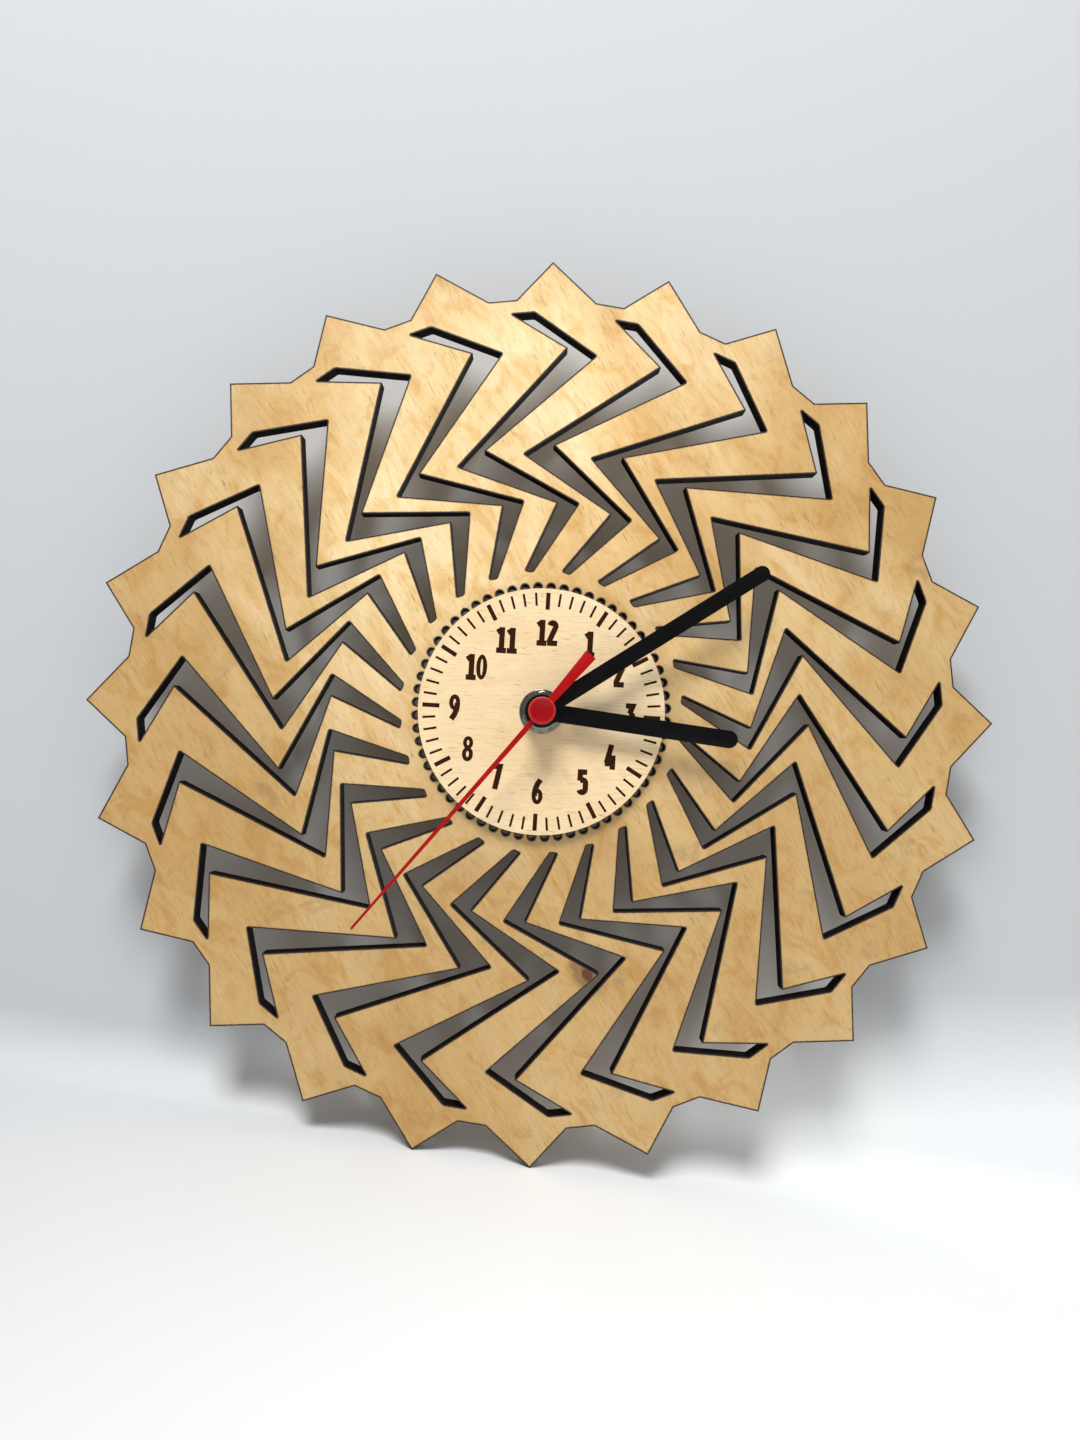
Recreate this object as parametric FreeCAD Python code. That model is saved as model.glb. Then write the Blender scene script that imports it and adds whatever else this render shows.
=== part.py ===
import FreeCAD, Part
import math
import os
from FreeCAD import Vector

# A toothed fretwork wall clock of plywood with a small quartz movement behind it.
# Millimetres. The clock is drawn lying on its back: X to the right, Y to twelve o'clock and
# Z from the wall to the viewer. Each piece is stood up as it is saved, so that the dial then
# faces -Y and twelve is +Z. The origin is on the hands' axis, in the plane of the wall.
# Angles and turns are degrees clockwise from twelve o'clock, seen from the front.

# Plywood plate
tooth_count = 24
tooth_angle = -1.9
plate_tip_radius = 150.0
tooth_depth = 12.6
plate_thickness = 6.0
valley_turn_shares = (0.413, 0.670)
slot_outer_margin = 4.4
slot_inner_margin = 4.15
ring_hole_count = 60
ring_hole_angle = 1.1
ring_hole_radius = 1.15
ring_hole_sides = 6
ring_hole_step = 0.9

# One zig-zag slot: how far each corner lies from the inner to the outer end of the slots,
# and its turn from the tooth's tip in tooth pitches, in order round the slot.
slot_corner_shares = (
    (0.9965, -0.381),
    (1.0000, -0.166),
    (0.8482, 0.483),
    (0.4878, -0.923),
    (0.2729, 0.573),
    (0.0000, -0.339),
    (0.0058, -0.517),
    (0.2677, 0.204),
    (0.4542, -1.351),
    (0.8667, 0.177),
)

# Dial
dial_radius = 40.5
dial_thickness = 3.0

# Hands and their hubs
hour_hand_length = 64.0
hour_hand_width = 5.7
hour_hand_angle = 95.2
hour_hub_radius = 5.4
minute_hand_length = 86.0
minute_hand_width = 5.1
minute_hand_angle = 54.7
minute_hub_radius = 4.6
hand_thickness = 0.8
hand_edge_bevel = 0.2
hand_gap = 1.4
hand_collar_wall = 1.0
hand_collar_height = 0.8
second_hand_length = 91.7
second_hand_angle = 217.8
second_blade_width = 1.9
second_waist_width = 1.6
second_tip_width = 0.8
second_waist_share = 0.2
second_tail_length = 23.7
second_tail_root_width = 2.0
second_tail_width = 4.1
second_hand_thickness = 0.4
cap_radius = 4.37
cap_height = 2.4
cap_edge_bevel = 0.3
cap_stem_radius = 1.3
cap_stem_height = 1.4
cap_shaft_share = 0.6

# Shafts, fits and the threaded bushing that clamps the plate
running_clearance = 0.08
pivot_clearance = 0.06
fit_clearance = 0.1
second_shaft_radius = 0.6
minute_tube_radius = 1.6
hour_tube_radius = 2.5
pivot_radius = 0.35
pivot_depth = 1.2
bushing_radius = 4.0
bushing_collar_radius = 5.0
bushing_collar_thickness = 0.7
bushing_reach = 1.2
tube_reach = 0.8
shaft_hole_clearance = 0.15
gasket_radius = 12.0
gasket_thickness = 0.8
washer_radius = 7.3
washer_thickness = 0.6
nut_across_flats = 12.0
nut_height = 2.4
nut_corner_bevel = 0.7

# Movement case
case_wall = 1.5
case_back = 1.4
case_corner_radius = 3.0
cover_thickness = 1.5
cover_edge_bevel = 0.5
partition_wall = 1.0
train_clearance = 0.5
locating_rim_wall = 1.0
locating_rim_height = 0.8
thumb_notch_radius = 6.5
pivot_pad_margin = 1.5
pivot_pad_height = 0.5
boss_wall = 0.8

# Battery
battery_radius = 7.0
battery_length = 50.5
battery_gap = 0.3
battery_edge_bevel = 0.6
battery_cap_radius = 2.75
battery_cap_height = 1.3
battery_end_gap = 0.25
contact_thickness = 0.3
contact_width = 10.0
contact_bow = 0.7
contact_bow_height = 7.0
contact_strip_width = 2.4
contact_foot_length = 1.6

# Gear train: levels, gaps and faces, from the back wall forwards
first_gap = 0.8
wheel_gap = 0.6
third_gap = 0.8
bridge_gap = 1.4
middle_plate_thickness = 1.2
plate_wheel_gap = 0.7
hour_gap = 0.5
collar_gap = 0.3
fine_face = 0.8
wheel_face = 1.0
motion_face = 1.2

# Gear train: tooth form
pressure_angle = 25.0
tooth_height_share = 0.7
tooth_root_share = 0.95
tooth_play_share = 0.12

# Gear train: distance and direction of each arbor from the one that it meshes with
third_distance = 11.45
third_angle = 65.0
intermediate_distance = 7.5
intermediate_angle = 245.0
rotor_distance = 7.0
rotor_angle = 283.8
work_distance = 9.6
work_angle = -30.0
setting_angle = -60.0

# Gear train: tooth counts
rotor_teeth = 6
intermediate_teeth = 36
intermediate_pinion_teeth = 6
second_teeth = 30
second_pinion_teeth = 6
third_teeth = 45
third_pinion_teeth = 6
centre_teeth = 48
cannon_teeth = 8
work_teeth = 24
work_pinion_teeth = 6
hour_teeth = 24
setting_teeth = 8

# Gear train: arbors, hubs and the setting knob
arbor_radius = 0.6
snap_collar_radius = 2.2
snap_collar_height = 0.4
snap_collar_gap = 0.2
work_post_radius = 0.8
setting_arbor_radius = 1.5
setting_pivot_radius = 0.8
knob_radius = 6.5
knob_height = 2.5
knob_recess_gap = 0.7
knob_sink = 0.4
knob_ridge_count = 15
knob_ridge_height = 0.6
knob_ridge_shares = (0.34, 0.2)
recess_wall = 1.0

# Stepping motor
magnet_radius = 2.6
magnet_height = 2.4
magnet_level = 5.0
stator_level = 5.8
stator_thickness = 1.0
stator_hole_radius = 3.0
stator_body_radius = 5.0
stator_arm_width = 2.7
stator_arm_spacing = 14.6
coil_distance = 8.4
coil_gap = 1.2
coil_radius = 3.0
coil_tube_radius = 1.9
coil_flange_radius = 3.3
coil_flange_thickness = 0.8
coil_length = 11.3
core_width = 2.4
core_thickness = 1.0
motor_post_width = 3.2
motor_pin_radius = 0.9

# Circuit board
board_width = 7.0
board_length = 18.5
board_thickness = 1.0
board_level = 9.4
board_gap = 1.0
board_post_width = 2.0
chip_radius = 2.5
chip_height = 1.2
chip_top_share = 0.55
crystal_radius = 1.0
crystal_length = 6.0

# Middle plate
middle_plate_gap = 0.7
pillar_width = 3.0
pillar_inset = 2.6

# Hanger clip
hanger_width = 18.0
hanger_height = 12.0
hanger_thickness = 2.2
hanger_corner_radius = 6.0
hanger_hole_radius = 3.6
hanger_hole_height = 4.6
hanger_slot_width = 3.4
hanger_slot_height = 5.6
hanger_flange_thickness = 1.2
hanger_flange_height = 11.0
hanger_rib_thickness = 1.2
hanger_tongue_width = 2.4
hanger_tongue_height = 1.8
hanger_tongue_spacing = 12.0

# One overrun serves every cut.
overrun = 0.5


# Shapes that many pieces share

def place_at(distance, turn, centre=(0, 0)):
    """The place at a distance and a clockwise turn from a centre."""
    angle = math.radians(90 - turn)
    return (centre[0] + distance * math.cos(angle), centre[1] + distance * math.sin(angle))


def cylinder(radius, low, high, place=(0, 0)):
    return Part.makeCylinder(radius, high - low, Vector(place[0], place[1], low))


def tube(outer, inner, low, high, place=(0, 0)):
    bore = cylinder(inner, low - overrun, high + overrun, place)
    return cylinder(outer, low, high, place).cut(bore)


def block(low, high):
    size = [high[axis] - low[axis] for axis in range(3)]
    return Part.makeBox(size[0], size[1], size[2], Vector(*low))


def square_post(width, low, high, place):
    half = width / 2
    return block((place[0] - half, place[1] - half, low), (place[0] + half, place[1] + half, high))


def slab(places, low, high):
    """A flat piece with the outline that the places give."""
    points = [Vector(place[0], place[1], low) for place in places]
    outline = Part.makePolygon(points + points[:1])
    return Part.Face(outline).extrude(Vector(0, 0, high - low))


def upright_edges(shape, wanted=None):
    """The edges along Z, all of them or those whose place the test wants."""
    found = []
    for edge in shape.Edges:
        along = edge.tangentAt(edge.FirstParameter)
        if isinstance(edge.Curve, Part.Line) and abs(along.z) > abs(along.x) + abs(along.y):
            middle = edge.CenterOfMass
            if wanted is None or wanted(middle.x, middle.y):
                found.append(edge)
    return found


def rounded_block(low, high, radius, wanted=None):
    body = block(low, high)
    return body.makeFillet(radius, upright_edges(body, wanted))


def rim_edges(shape, level):
    """The edges that lie wholly at one level."""
    found = []
    for edge in shape.Edges:
        box = edge.BoundBox
        if abs(box.ZMin - level) < fit_clearance / 2 and abs(box.ZMax - level) < fit_clearance / 2:
            found.append(edge)
    return found


def turned(shape, turn):
    """The shape turned clockwise about the hands' axis."""
    copy = shape.copy()
    copy.rotate(Vector(0, 0, 0), Vector(0, 0, 1), -turn)
    return copy


def joined(shapes):
    whole = shapes[0]
    for shape in shapes[1:]:
        whole = whole.fuse(shape)
    return whole.removeSplitter()


# Gear teeth

def involute(angle):
    return math.tan(angle) - angle


def tooth_half_angle(teeth, radius_share):
    """Half a tooth's width, in radians, at a radius given as a share of the pitch radius."""
    contact = math.radians(pressure_angle)
    at_pitch = (math.pi / 2 - tooth_play_share / 2) / teeth
    cosine = min(1, math.cos(contact) / radius_share)
    return at_pitch + involute(contact) - involute(math.acos(cosine))


def ridged_places(count, phase, root_radius, tip_radius, root_turn, tip_turn, centre):
    """Four corners for each ridge: half its width at root and tip is given as a turn."""
    places = []
    for ridge in range(count):
        middle = phase + 360 * ridge / count
        places.append(place_at(root_radius, middle - root_turn, centre))
        places.append(place_at(tip_radius, middle - tip_turn, centre))
        places.append(place_at(tip_radius, middle + tip_turn, centre))
        places.append(place_at(root_radius, middle + root_turn, centre))
    return places


def gear(teeth, module, phase, low, high, centre=(0, 0)):
    """A spur gear whose flanks are the chords of involutes, root to tip."""
    pitch_radius = module * teeth / 2
    tip_radius = pitch_radius + module * tooth_height_share
    root_radius = pitch_radius - module * tooth_root_share
    tip_turn = math.degrees(tooth_half_angle(teeth, tip_radius / pitch_radius))
    root_turn = math.degrees(tooth_half_angle(teeth, root_radius / pitch_radius))
    return slab(ridged_places(teeth, phase, root_radius, tip_radius, root_turn, tip_turn, centre), low, high)


def meshed_phase(driver_teeth, driver_phase, teeth, turn):
    """The phase of a gear whose centre lies at a turn from its driver's, with teeth in gaps."""
    return turn + 180 - 180 / teeth + (turn - driver_phase) * driver_teeth / teeth


def pair_module(distance, teeth, other_teeth):
    return 2 * distance / (teeth + other_teeth)


def tip_reach(teeth, module):
    return module * (teeth / 2 + tooth_height_share)


# Places, modules and levels that follow from the driving sizes
centre_place = (0, 0)
third_place = place_at(third_distance, third_angle)
intermediate_place = place_at(intermediate_distance, intermediate_angle)
rotor_place = place_at(rotor_distance, rotor_angle, intermediate_place)
work_place = place_at(work_distance, work_angle)
setting_place = place_at(work_distance, setting_angle, work_place)

rotor_module = pair_module(rotor_distance, rotor_teeth, intermediate_teeth)
second_module = pair_module(intermediate_distance, intermediate_pinion_teeth, second_teeth)
third_module = pair_module(third_distance, second_pinion_teeth, third_teeth)
centre_module = pair_module(third_distance, third_pinion_teeth, centre_teeth)
cannon_module = pair_module(work_distance, cannon_teeth, work_teeth)
hour_module = pair_module(work_distance, work_pinion_teeth, hour_teeth)

rotor_level = case_back + first_gap
rotor_top = rotor_level + fine_face
second_level = rotor_top + wheel_gap
second_top = second_level + wheel_face
third_level = second_top + third_gap
third_top = third_level + wheel_face
middle_plate_level = third_top + bridge_gap
middle_plate_top = middle_plate_level + middle_plate_thickness
centre_level = middle_plate_top + plate_wheel_gap
centre_top = centre_level + wheel_face
cannon_level = centre_top + wheel_gap
cannon_top = cannon_level + motion_face
hour_level = cannon_top + hour_gap
hour_top = hour_level + wheel_face
train_depth = hour_top + collar_gap + bushing_collar_thickness
battery_depth = 2 * (battery_radius + battery_gap)
housing_depth = max(train_depth, battery_depth)
cover_top = housing_depth + cover_thickness

# The battery lies in a bay below the train. The case is as wide as the battery and its
# contacts or the coil ask for, and the board lies in its upper left corner.
train_reach = tip_reach(centre_teeth, centre_module) + train_clearance
bay_high = -train_reach - partition_wall
battery_y = bay_high - battery_gap - battery_radius
bay_low = battery_y - battery_radius - battery_gap
case_low = bay_low - case_wall
case_high = -case_low
battery_half = battery_length / 2 + battery_end_gap + contact_bow + contact_thickness
coil_offset = coil_distance - rotor_place[0]
inner_half = max(battery_half, coil_offset + coil_flange_radius + coil_gap)
case_half = inner_half + case_wall
battery_level = housing_depth - battery_gap - battery_radius
inner_high = case_high - case_wall
board_place = (board_gap + board_width / 2 - inner_half, inner_high - board_gap - board_length / 2)

# Plate, dial and hands are stacked on the cover.
plate_valley_radius = plate_tip_radius - tooth_depth
gasket_top = cover_top + gasket_thickness
plate_top = gasket_top + plate_thickness
dial_top = plate_top + dial_thickness
washer_top = dial_top + washer_thickness
nut_top = washer_top + nut_height
bushing_top = nut_top + bushing_reach
hour_hand_level = bushing_top + hand_gap - hand_collar_height / 2
hour_hand_top = hour_hand_level + hand_thickness
hour_tube_top = hour_hand_top + tube_reach / 2
minute_hand_level = hour_tube_top + hand_gap
minute_hand_top = minute_hand_level + hand_thickness
minute_tube_top = minute_hand_top + tube_reach / 2
second_hand_level = minute_tube_top + hand_gap
second_hand_top = second_hand_level + second_hand_thickness
cap_top = second_hand_top + cap_height
second_shaft_top = second_hand_top + cap_height * cap_shaft_share
shaft_hole_radius = bushing_radius + shaft_hole_clearance
hour_bore_radius = minute_tube_radius + running_clearance
minute_bore_radius = second_shaft_radius + running_clearance
bushing_bore_radius = hour_tube_radius + running_clearance
setting_tip_reach = tip_reach(setting_teeth, cannon_module)
knob_level = knob_sink
knob_top = knob_level + knob_height
recess_radius = knob_radius + knob_recess_gap
recess_depth = knob_top + fit_clearance
core_level = stator_level + stator_thickness
coil_level = core_level + core_thickness / 2
ring_radius = dial_radius + ring_hole_step
hanger_tongue_level = hanger_thickness + hanger_flange_height / 2


# Plywood pieces

def make_gear_plate():
    """The fretwork disc: teeth round the rim, a ring of holes and a zig-zag slot per tooth."""
    pitch = 360 / tooth_count
    inner = ring_radius + ring_hole_radius + slot_inner_margin
    outer = plate_valley_radius - slot_outer_margin
    rim = []
    for tooth in range(tooth_count):
        turn = tooth_angle + tooth * pitch
        rim.append(place_at(plate_tip_radius, turn))
        for share in valley_turn_shares:
            rim.append(place_at(plate_valley_radius, turn + share * pitch))
    plate = slab(rim, gasket_top, plate_top)
    corners = []
    for radius_share, turn_share in slot_corner_shares:
        radius = inner + radius_share * (outer - inner)
        corners.append(place_at(radius, tooth_angle + turn_share * pitch))
    slot = slab(corners, gasket_top - overrun, plate_top + overrun)
    cuts = [turned(slot, tooth * pitch) for tooth in range(tooth_count)]
    for hole in range(ring_hole_count):
        place = place_at(ring_radius, ring_hole_angle + 360 * hole / ring_hole_count)
        corners = [place_at(ring_hole_radius, 360 * side / ring_hole_sides, place)
                   for side in range(ring_hole_sides)]
        cuts.append(slab(corners, gasket_top - overrun, plate_top + overrun))
    cuts.append(cylinder(shaft_hole_radius, gasket_top - overrun, plate_top + overrun))
    return plate.cut(cuts)


def make_dial_disc():
    return tube(dial_radius, shaft_hole_radius, plate_top, dial_top)


# Clamping pieces on the bushing

def make_rubber_gasket():
    return tube(gasket_radius, shaft_hole_radius, cover_top, gasket_top)


def make_nut_washer():
    return tube(washer_radius, shaft_hole_radius, dial_top, washer_top)


def make_fixing_nut():
    """A hexagon nut, its corners bevelled by a cone as on a turned one."""
    corner_radius = nut_across_flats / 2 / math.cos(math.pi / 6)
    corners = [place_at(corner_radius, 60 * side) for side in range(6)]
    nut = slab(corners, washer_top, nut_top)
    straight = nut_height - nut_corner_bevel
    envelope = cylinder(corner_radius, washer_top, washer_top + straight)
    crown = Part.makeCone(corner_radius, corner_radius - 2 * nut_corner_bevel, nut_corner_bevel,
                          Vector(0, 0, washer_top + straight))
    nut = nut.common(envelope.fuse(crown))
    return nut.cut(cylinder(bushing_radius, washer_top - overrun, nut_top + overrun))


def make_threaded_bushing():
    """The brass bushing: a collar held under the cover and a neck that the nut runs on."""
    collar = cylinder(bushing_collar_radius, housing_depth - bushing_collar_thickness, housing_depth)
    neck = cylinder(bushing_radius, housing_depth, bushing_top)
    neck = neck.makeChamfer(hand_edge_bevel, rim_edges(neck, bushing_top))
    bore = cylinder(bushing_bore_radius, housing_depth - bushing_collar_thickness - overrun,
                    bushing_top + overrun)
    return collar.fuse(neck).cut(bore)


# Hands

def baton(length, width, hub_radius, low, turn):
    """A straight hand with a round end and a round hub, its upper edges bevelled."""
    half = width / 2
    top = low + hand_thickness
    straight = length - half
    places = [(-half, 0), (half, 0), (half, straight), (-half, straight)]
    blade = slab(places, low, top).fuse(cylinder(half, low, top, (0, straight)))
    hand = blade.fuse(cylinder(hub_radius, low, top)).removeSplitter()
    hand = hand.makeChamfer(hand_edge_bevel, rim_edges(hand, top))
    return turned(hand, turn)


def make_hour_hand():
    hand = baton(hour_hand_length, hour_hand_width, hour_hub_radius, hour_hand_level, hour_hand_angle)
    collar = cylinder(hour_tube_radius + hand_collar_wall, hour_hand_level - hand_collar_height,
                      hour_hand_level)
    bore = cylinder(hour_tube_radius, hour_hand_level - hand_collar_height - overrun,
                    hour_hand_top + overrun)
    return hand.fuse(collar).cut(bore)


def make_minute_hand():
    hand = baton(minute_hand_length, minute_hand_width, minute_hub_radius, minute_hand_level,
                 minute_hand_angle)
    collar = cylinder(minute_tube_radius + hand_collar_wall, minute_hand_level - hand_collar_height,
                      minute_hand_level)
    bore = cylinder(minute_tube_radius, minute_hand_level - hand_collar_height - overrun,
                    minute_hand_top + overrun)
    return hand.fuse(collar).cut(bore)


def make_second_hand():
    """A thin tapered blade on one side and a widening square tail on the other."""
    waist = second_hand_length * second_waist_share
    places = [
        (-second_blade_width / 2, 0),
        (-second_waist_width / 2, waist),
        (-second_tip_width / 2, second_hand_length),
        (second_tip_width / 2, second_hand_length),
        (second_waist_width / 2, waist),
        (second_blade_width / 2, 0),
        (second_tail_root_width / 2, 0),
        (second_tail_width / 2, -second_tail_length),
        (-second_tail_width / 2, -second_tail_length),
        (-second_tail_root_width / 2, 0),
    ]
    blade = slab(places, second_hand_level, second_hand_top)
    eye = cylinder(cap_radius - cap_edge_bevel, second_hand_level, second_hand_top)
    bore = cylinder(cap_stem_radius, second_hand_level - overrun, second_hand_top + overrun)
    return turned(blade.fuse(eye).removeSplitter().cut(bore), second_hand_angle)


def make_second_hand_cap():
    """The red button over the blade, with a stem that is pushed on the second shaft."""
    cap = cylinder(cap_radius, second_hand_top, cap_top)
    cap = cap.makeChamfer(cap_edge_bevel, rim_edges(cap, cap_top))
    stem = cylinder(cap_stem_radius, second_hand_top - cap_stem_height, second_hand_top)
    bore = cylinder(second_shaft_radius, second_hand_top - cap_stem_height - overrun,
                    second_shaft_top)
    return cap.fuse(stem).cut(bore)


# Wheels and arbors

def pivot_pair(place, low, high, top):
    """An arbor between two levels, with a fine pivot below and one that ends at the top."""
    bottom = case_back + pivot_pad_height - pivot_depth + pivot_clearance
    arbor = cylinder(arbor_radius, low, high, place)
    pins = cylinder(pivot_radius, bottom, top, place)
    return arbor.fuse(pins)


def make_rotor_pinion():
    phase = meshed_phase(intermediate_teeth, 0, rotor_teeth, rotor_angle)
    pinion = gear(rotor_teeth, rotor_module, phase, rotor_level, rotor_top, rotor_place)
    arbor = pivot_pair(rotor_place, rotor_top, magnet_level + magnet_height, middle_plate_top)
    return joined([pinion, arbor])


def make_rotor_magnet():
    return tube(magnet_radius, arbor_radius, magnet_level, magnet_level + magnet_height, rotor_place)


def make_intermediate_wheel():
    pinion_phase = meshed_phase(second_teeth, 0, intermediate_pinion_teeth, intermediate_angle)
    wheel = gear(intermediate_teeth, rotor_module, 0, rotor_level, rotor_top, intermediate_place)
    pinion = gear(intermediate_pinion_teeth, second_module, pinion_phase, rotor_top, second_top,
                  intermediate_place)
    arbor = pivot_pair(intermediate_place, second_top, middle_plate_level - fit_clearance,
                       middle_plate_top)
    return joined([wheel, pinion, arbor])


def make_second_wheel():
    """The seconds wheel, its pinion and the long shaft that carries the second hand."""
    wheel = gear(second_teeth, second_module, 0, second_level, second_top)
    pinion = gear(second_pinion_teeth, third_module, 0, second_top, third_top)
    foot = case_back + pivot_pad_height + fit_clearance
    shaft = pivot_pair(centre_place, foot, second_shaft_top, second_shaft_top)
    return joined([wheel, pinion, shaft])


def make_third_wheel():
    wheel_phase = meshed_phase(second_pinion_teeth, 0, third_teeth, third_angle)
    pinion_phase = meshed_phase(centre_teeth, 0, third_pinion_teeth, third_angle)
    wheel = gear(third_teeth, third_module, wheel_phase, third_level, third_top, third_place)
    pinion = gear(third_pinion_teeth, centre_module, pinion_phase, centre_level, centre_top, third_place)
    foot = case_back + pivot_pad_height + fit_clearance
    arbor = pivot_pair(third_place, foot, centre_top, centre_top + pivot_depth)
    return joined([wheel, pinion, arbor])


def make_centre_wheel():
    """The wheel that drives the minute arbor by friction, free to slip on it when set."""
    wheel = gear(centre_teeth, centre_module, 0, centre_level, centre_top)
    hub = cylinder(snap_collar_radius, centre_top, cannon_level - snap_collar_gap)
    bore = cylinder(hour_bore_radius, centre_level - overrun, cannon_level)
    return wheel.fuse(hub).cut(bore)


def make_minute_arbor():
    """The cannon pinion with its long tube, and the snap collar under the centre wheel."""
    foot = centre_level - fit_clearance - snap_collar_height
    body = cylinder(minute_tube_radius, foot, minute_tube_top)
    collar = cylinder(snap_collar_radius, foot, centre_level - fit_clearance)
    pinion = gear(cannon_teeth, cannon_module, 0, cannon_level, cannon_top)
    bore = cylinder(minute_bore_radius, foot - overrun, minute_tube_top + overrun)
    return joined([body, collar, pinion]).cut(bore)


def make_minute_work_wheel():
    wheel_phase = meshed_phase(cannon_teeth, 0, work_teeth, work_angle)
    pinion_phase = meshed_phase(hour_teeth, 0, work_pinion_teeth, work_angle)
    wheel = gear(work_teeth, cannon_module, wheel_phase, cannon_level, cannon_top, work_place)
    pinion = gear(work_pinion_teeth, hour_module, pinion_phase, cannon_top, hour_top, work_place)
    bore = cylinder(work_post_radius + running_clearance, cannon_level - overrun, hour_top + overrun,
                    work_place)
    return wheel.fuse(pinion).cut(bore)


def make_hour_wheel():
    """The hour wheel and its tube, which runs in the bushing over the minute tube."""
    foot = cannon_top + hour_gap / 2
    wheel = gear(hour_teeth, hour_module, 0, hour_level, hour_top)
    hub = cylinder(hour_tube_radius + hand_collar_wall, foot, hour_level)
    pipe = cylinder(hour_tube_radius, hour_top, hour_tube_top)
    bore = cylinder(hour_bore_radius, foot - overrun, hour_tube_top + overrun)
    return joined([wheel, hub, pipe]).cut(bore)


def make_setting_arbor():
    work_phase = meshed_phase(cannon_teeth, 0, work_teeth, work_angle)
    phase = meshed_phase(work_teeth, work_phase, setting_teeth, setting_angle)
    stem = cylinder(setting_arbor_radius, knob_level + knob_height / 2, cannon_level, setting_place)
    pinion = gear(setting_teeth, cannon_module, phase, cannon_level, cannon_top, setting_place)
    pin_top = housing_depth - boss_wall
    pin = cylinder(setting_pivot_radius, cannon_top, pin_top, setting_place)
    return joined([stem, pinion, pin])


def make_setting_knob():
    """The ridged knob that lies sunk in the back of the case."""
    root_turn, tip_turn = [share * 360 / knob_ridge_count for share in knob_ridge_shares]
    outline = ridged_places(knob_ridge_count, 0, knob_radius - knob_ridge_height, knob_radius,
                            root_turn, tip_turn, setting_place)
    knob = slab(outline, knob_level, knob_top)
    seat = cylinder(setting_arbor_radius, knob_level + knob_height / 2, knob_top + overrun, setting_place)
    return knob.cut(seat)


# Stepping motor

stator_arm_places = (rotor_place[1] + stator_arm_spacing / 2, rotor_place[1] - stator_arm_spacing / 2)
motor_post_places = (
    (rotor_place[0] + motor_post_width / 2, stator_arm_places[0]),
    (rotor_place[0] - motor_post_width / 2, stator_arm_places[1]),
)


def make_stator():
    """The soft-iron plate round the rotor, with two arms that reach out to the coil's core."""
    top = stator_level + stator_thickness
    half = stator_arm_width / 2
    body = cylinder(stator_body_radius, stator_level, top, rotor_place)
    left = -coil_offset - core_width / 2
    right = rotor_place[0] + stator_body_radius - half
    arms = []
    for arm_y in stator_arm_places:
        low = (left, arm_y - half, stator_level)
        arms.append(block(low, (right, arm_y + half, top)))
    spine_low = (rotor_place[0] - half, stator_arm_places[1], stator_level)
    spine = block(spine_low, (rotor_place[0] + half, stator_arm_places[0], top))
    hole = cylinder(stator_hole_radius, stator_level - overrun, top + overrun, rotor_place)
    pins = [cylinder(motor_pin_radius, stator_level - overrun, top + overrun, place)
            for place in motor_post_places]
    return joined([body, spine] + arms).cut([hole] + pins)


def make_coil_core():
    half = core_width / 2
    reach = stator_arm_width / 2
    low = (-coil_offset - half, stator_arm_places[1] - reach, core_level)
    return block(low, (-coil_offset + half, stator_arm_places[0] + reach, core_level + core_thickness))


def along_coil(radius, start, length):
    """A round bar on the coil's axis, from a distance off its middle."""
    middle = (stator_arm_places[0] + stator_arm_places[1]) / 2
    return Part.makeCylinder(radius, length, Vector(-coil_offset, middle + start, coil_level), Vector(0, 1, 0))


def make_coil_bobbin():
    half = coil_length / 2
    flange = coil_flange_thickness
    spool = along_coil(coil_tube_radius, -half, coil_length)
    ends = [along_coil(coil_flange_radius, -half, flange),
            along_coil(coil_flange_radius, half - flange, flange)]
    return joined([spool] + ends).cut(make_coil_core())


def make_coil_winding():
    inner_length = coil_length - 2 * coil_flange_thickness
    start = -inner_length / 2
    winding = along_coil(coil_radius, start, inner_length)
    return winding.cut(along_coil(coil_tube_radius, start - overrun, inner_length + 2 * overrun))


# Circuit board

def board_box():
    half_width = board_width / 2
    half_length = board_length / 2
    x, y = board_place
    return (x - half_width, y - half_length), (x + half_width, y + half_length)


board_low, board_high = board_box()
board_top = board_level + board_thickness
board_post_places = (
    (board_low[0] + board_post_width / 2, board_high[1] - board_post_width / 2),
    (board_low[0] + board_post_width / 2, board_low[1] + board_post_width / 2),
)


def make_circuit_board():
    return block(board_low + (board_level,), board_high + (board_top,))


def make_chip_cover():
    """The low mound of black resin over the chip."""
    foot = Vector(board_place[0], board_place[1] - board_length / 5, board_top)
    return Part.makeCone(chip_radius, chip_radius * chip_top_share, chip_height, foot)


def make_quartz_crystal():
    start = Vector(board_place[0], board_place[1] + board_length / 8, board_top + crystal_radius)
    return Part.makeCylinder(crystal_radius, crystal_length, start, Vector(0, 1, 0))


# Battery and its contacts

def along_battery(radius, start, length):
    return Part.makeCylinder(radius, length, Vector(start, battery_y, battery_level), Vector(1, 0, 0))


def make_battery_can():
    length = battery_length - battery_cap_height
    can = along_battery(battery_radius, -battery_length / 2, length)
    ends = [edge for edge in can.Edges if isinstance(edge.Curve, Part.Circle)]
    return can.makeChamfer(battery_edge_bevel, ends)


def make_battery_cap():
    return along_battery(battery_cap_radius, battery_length / 2 - battery_cap_height, battery_cap_height)


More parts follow.
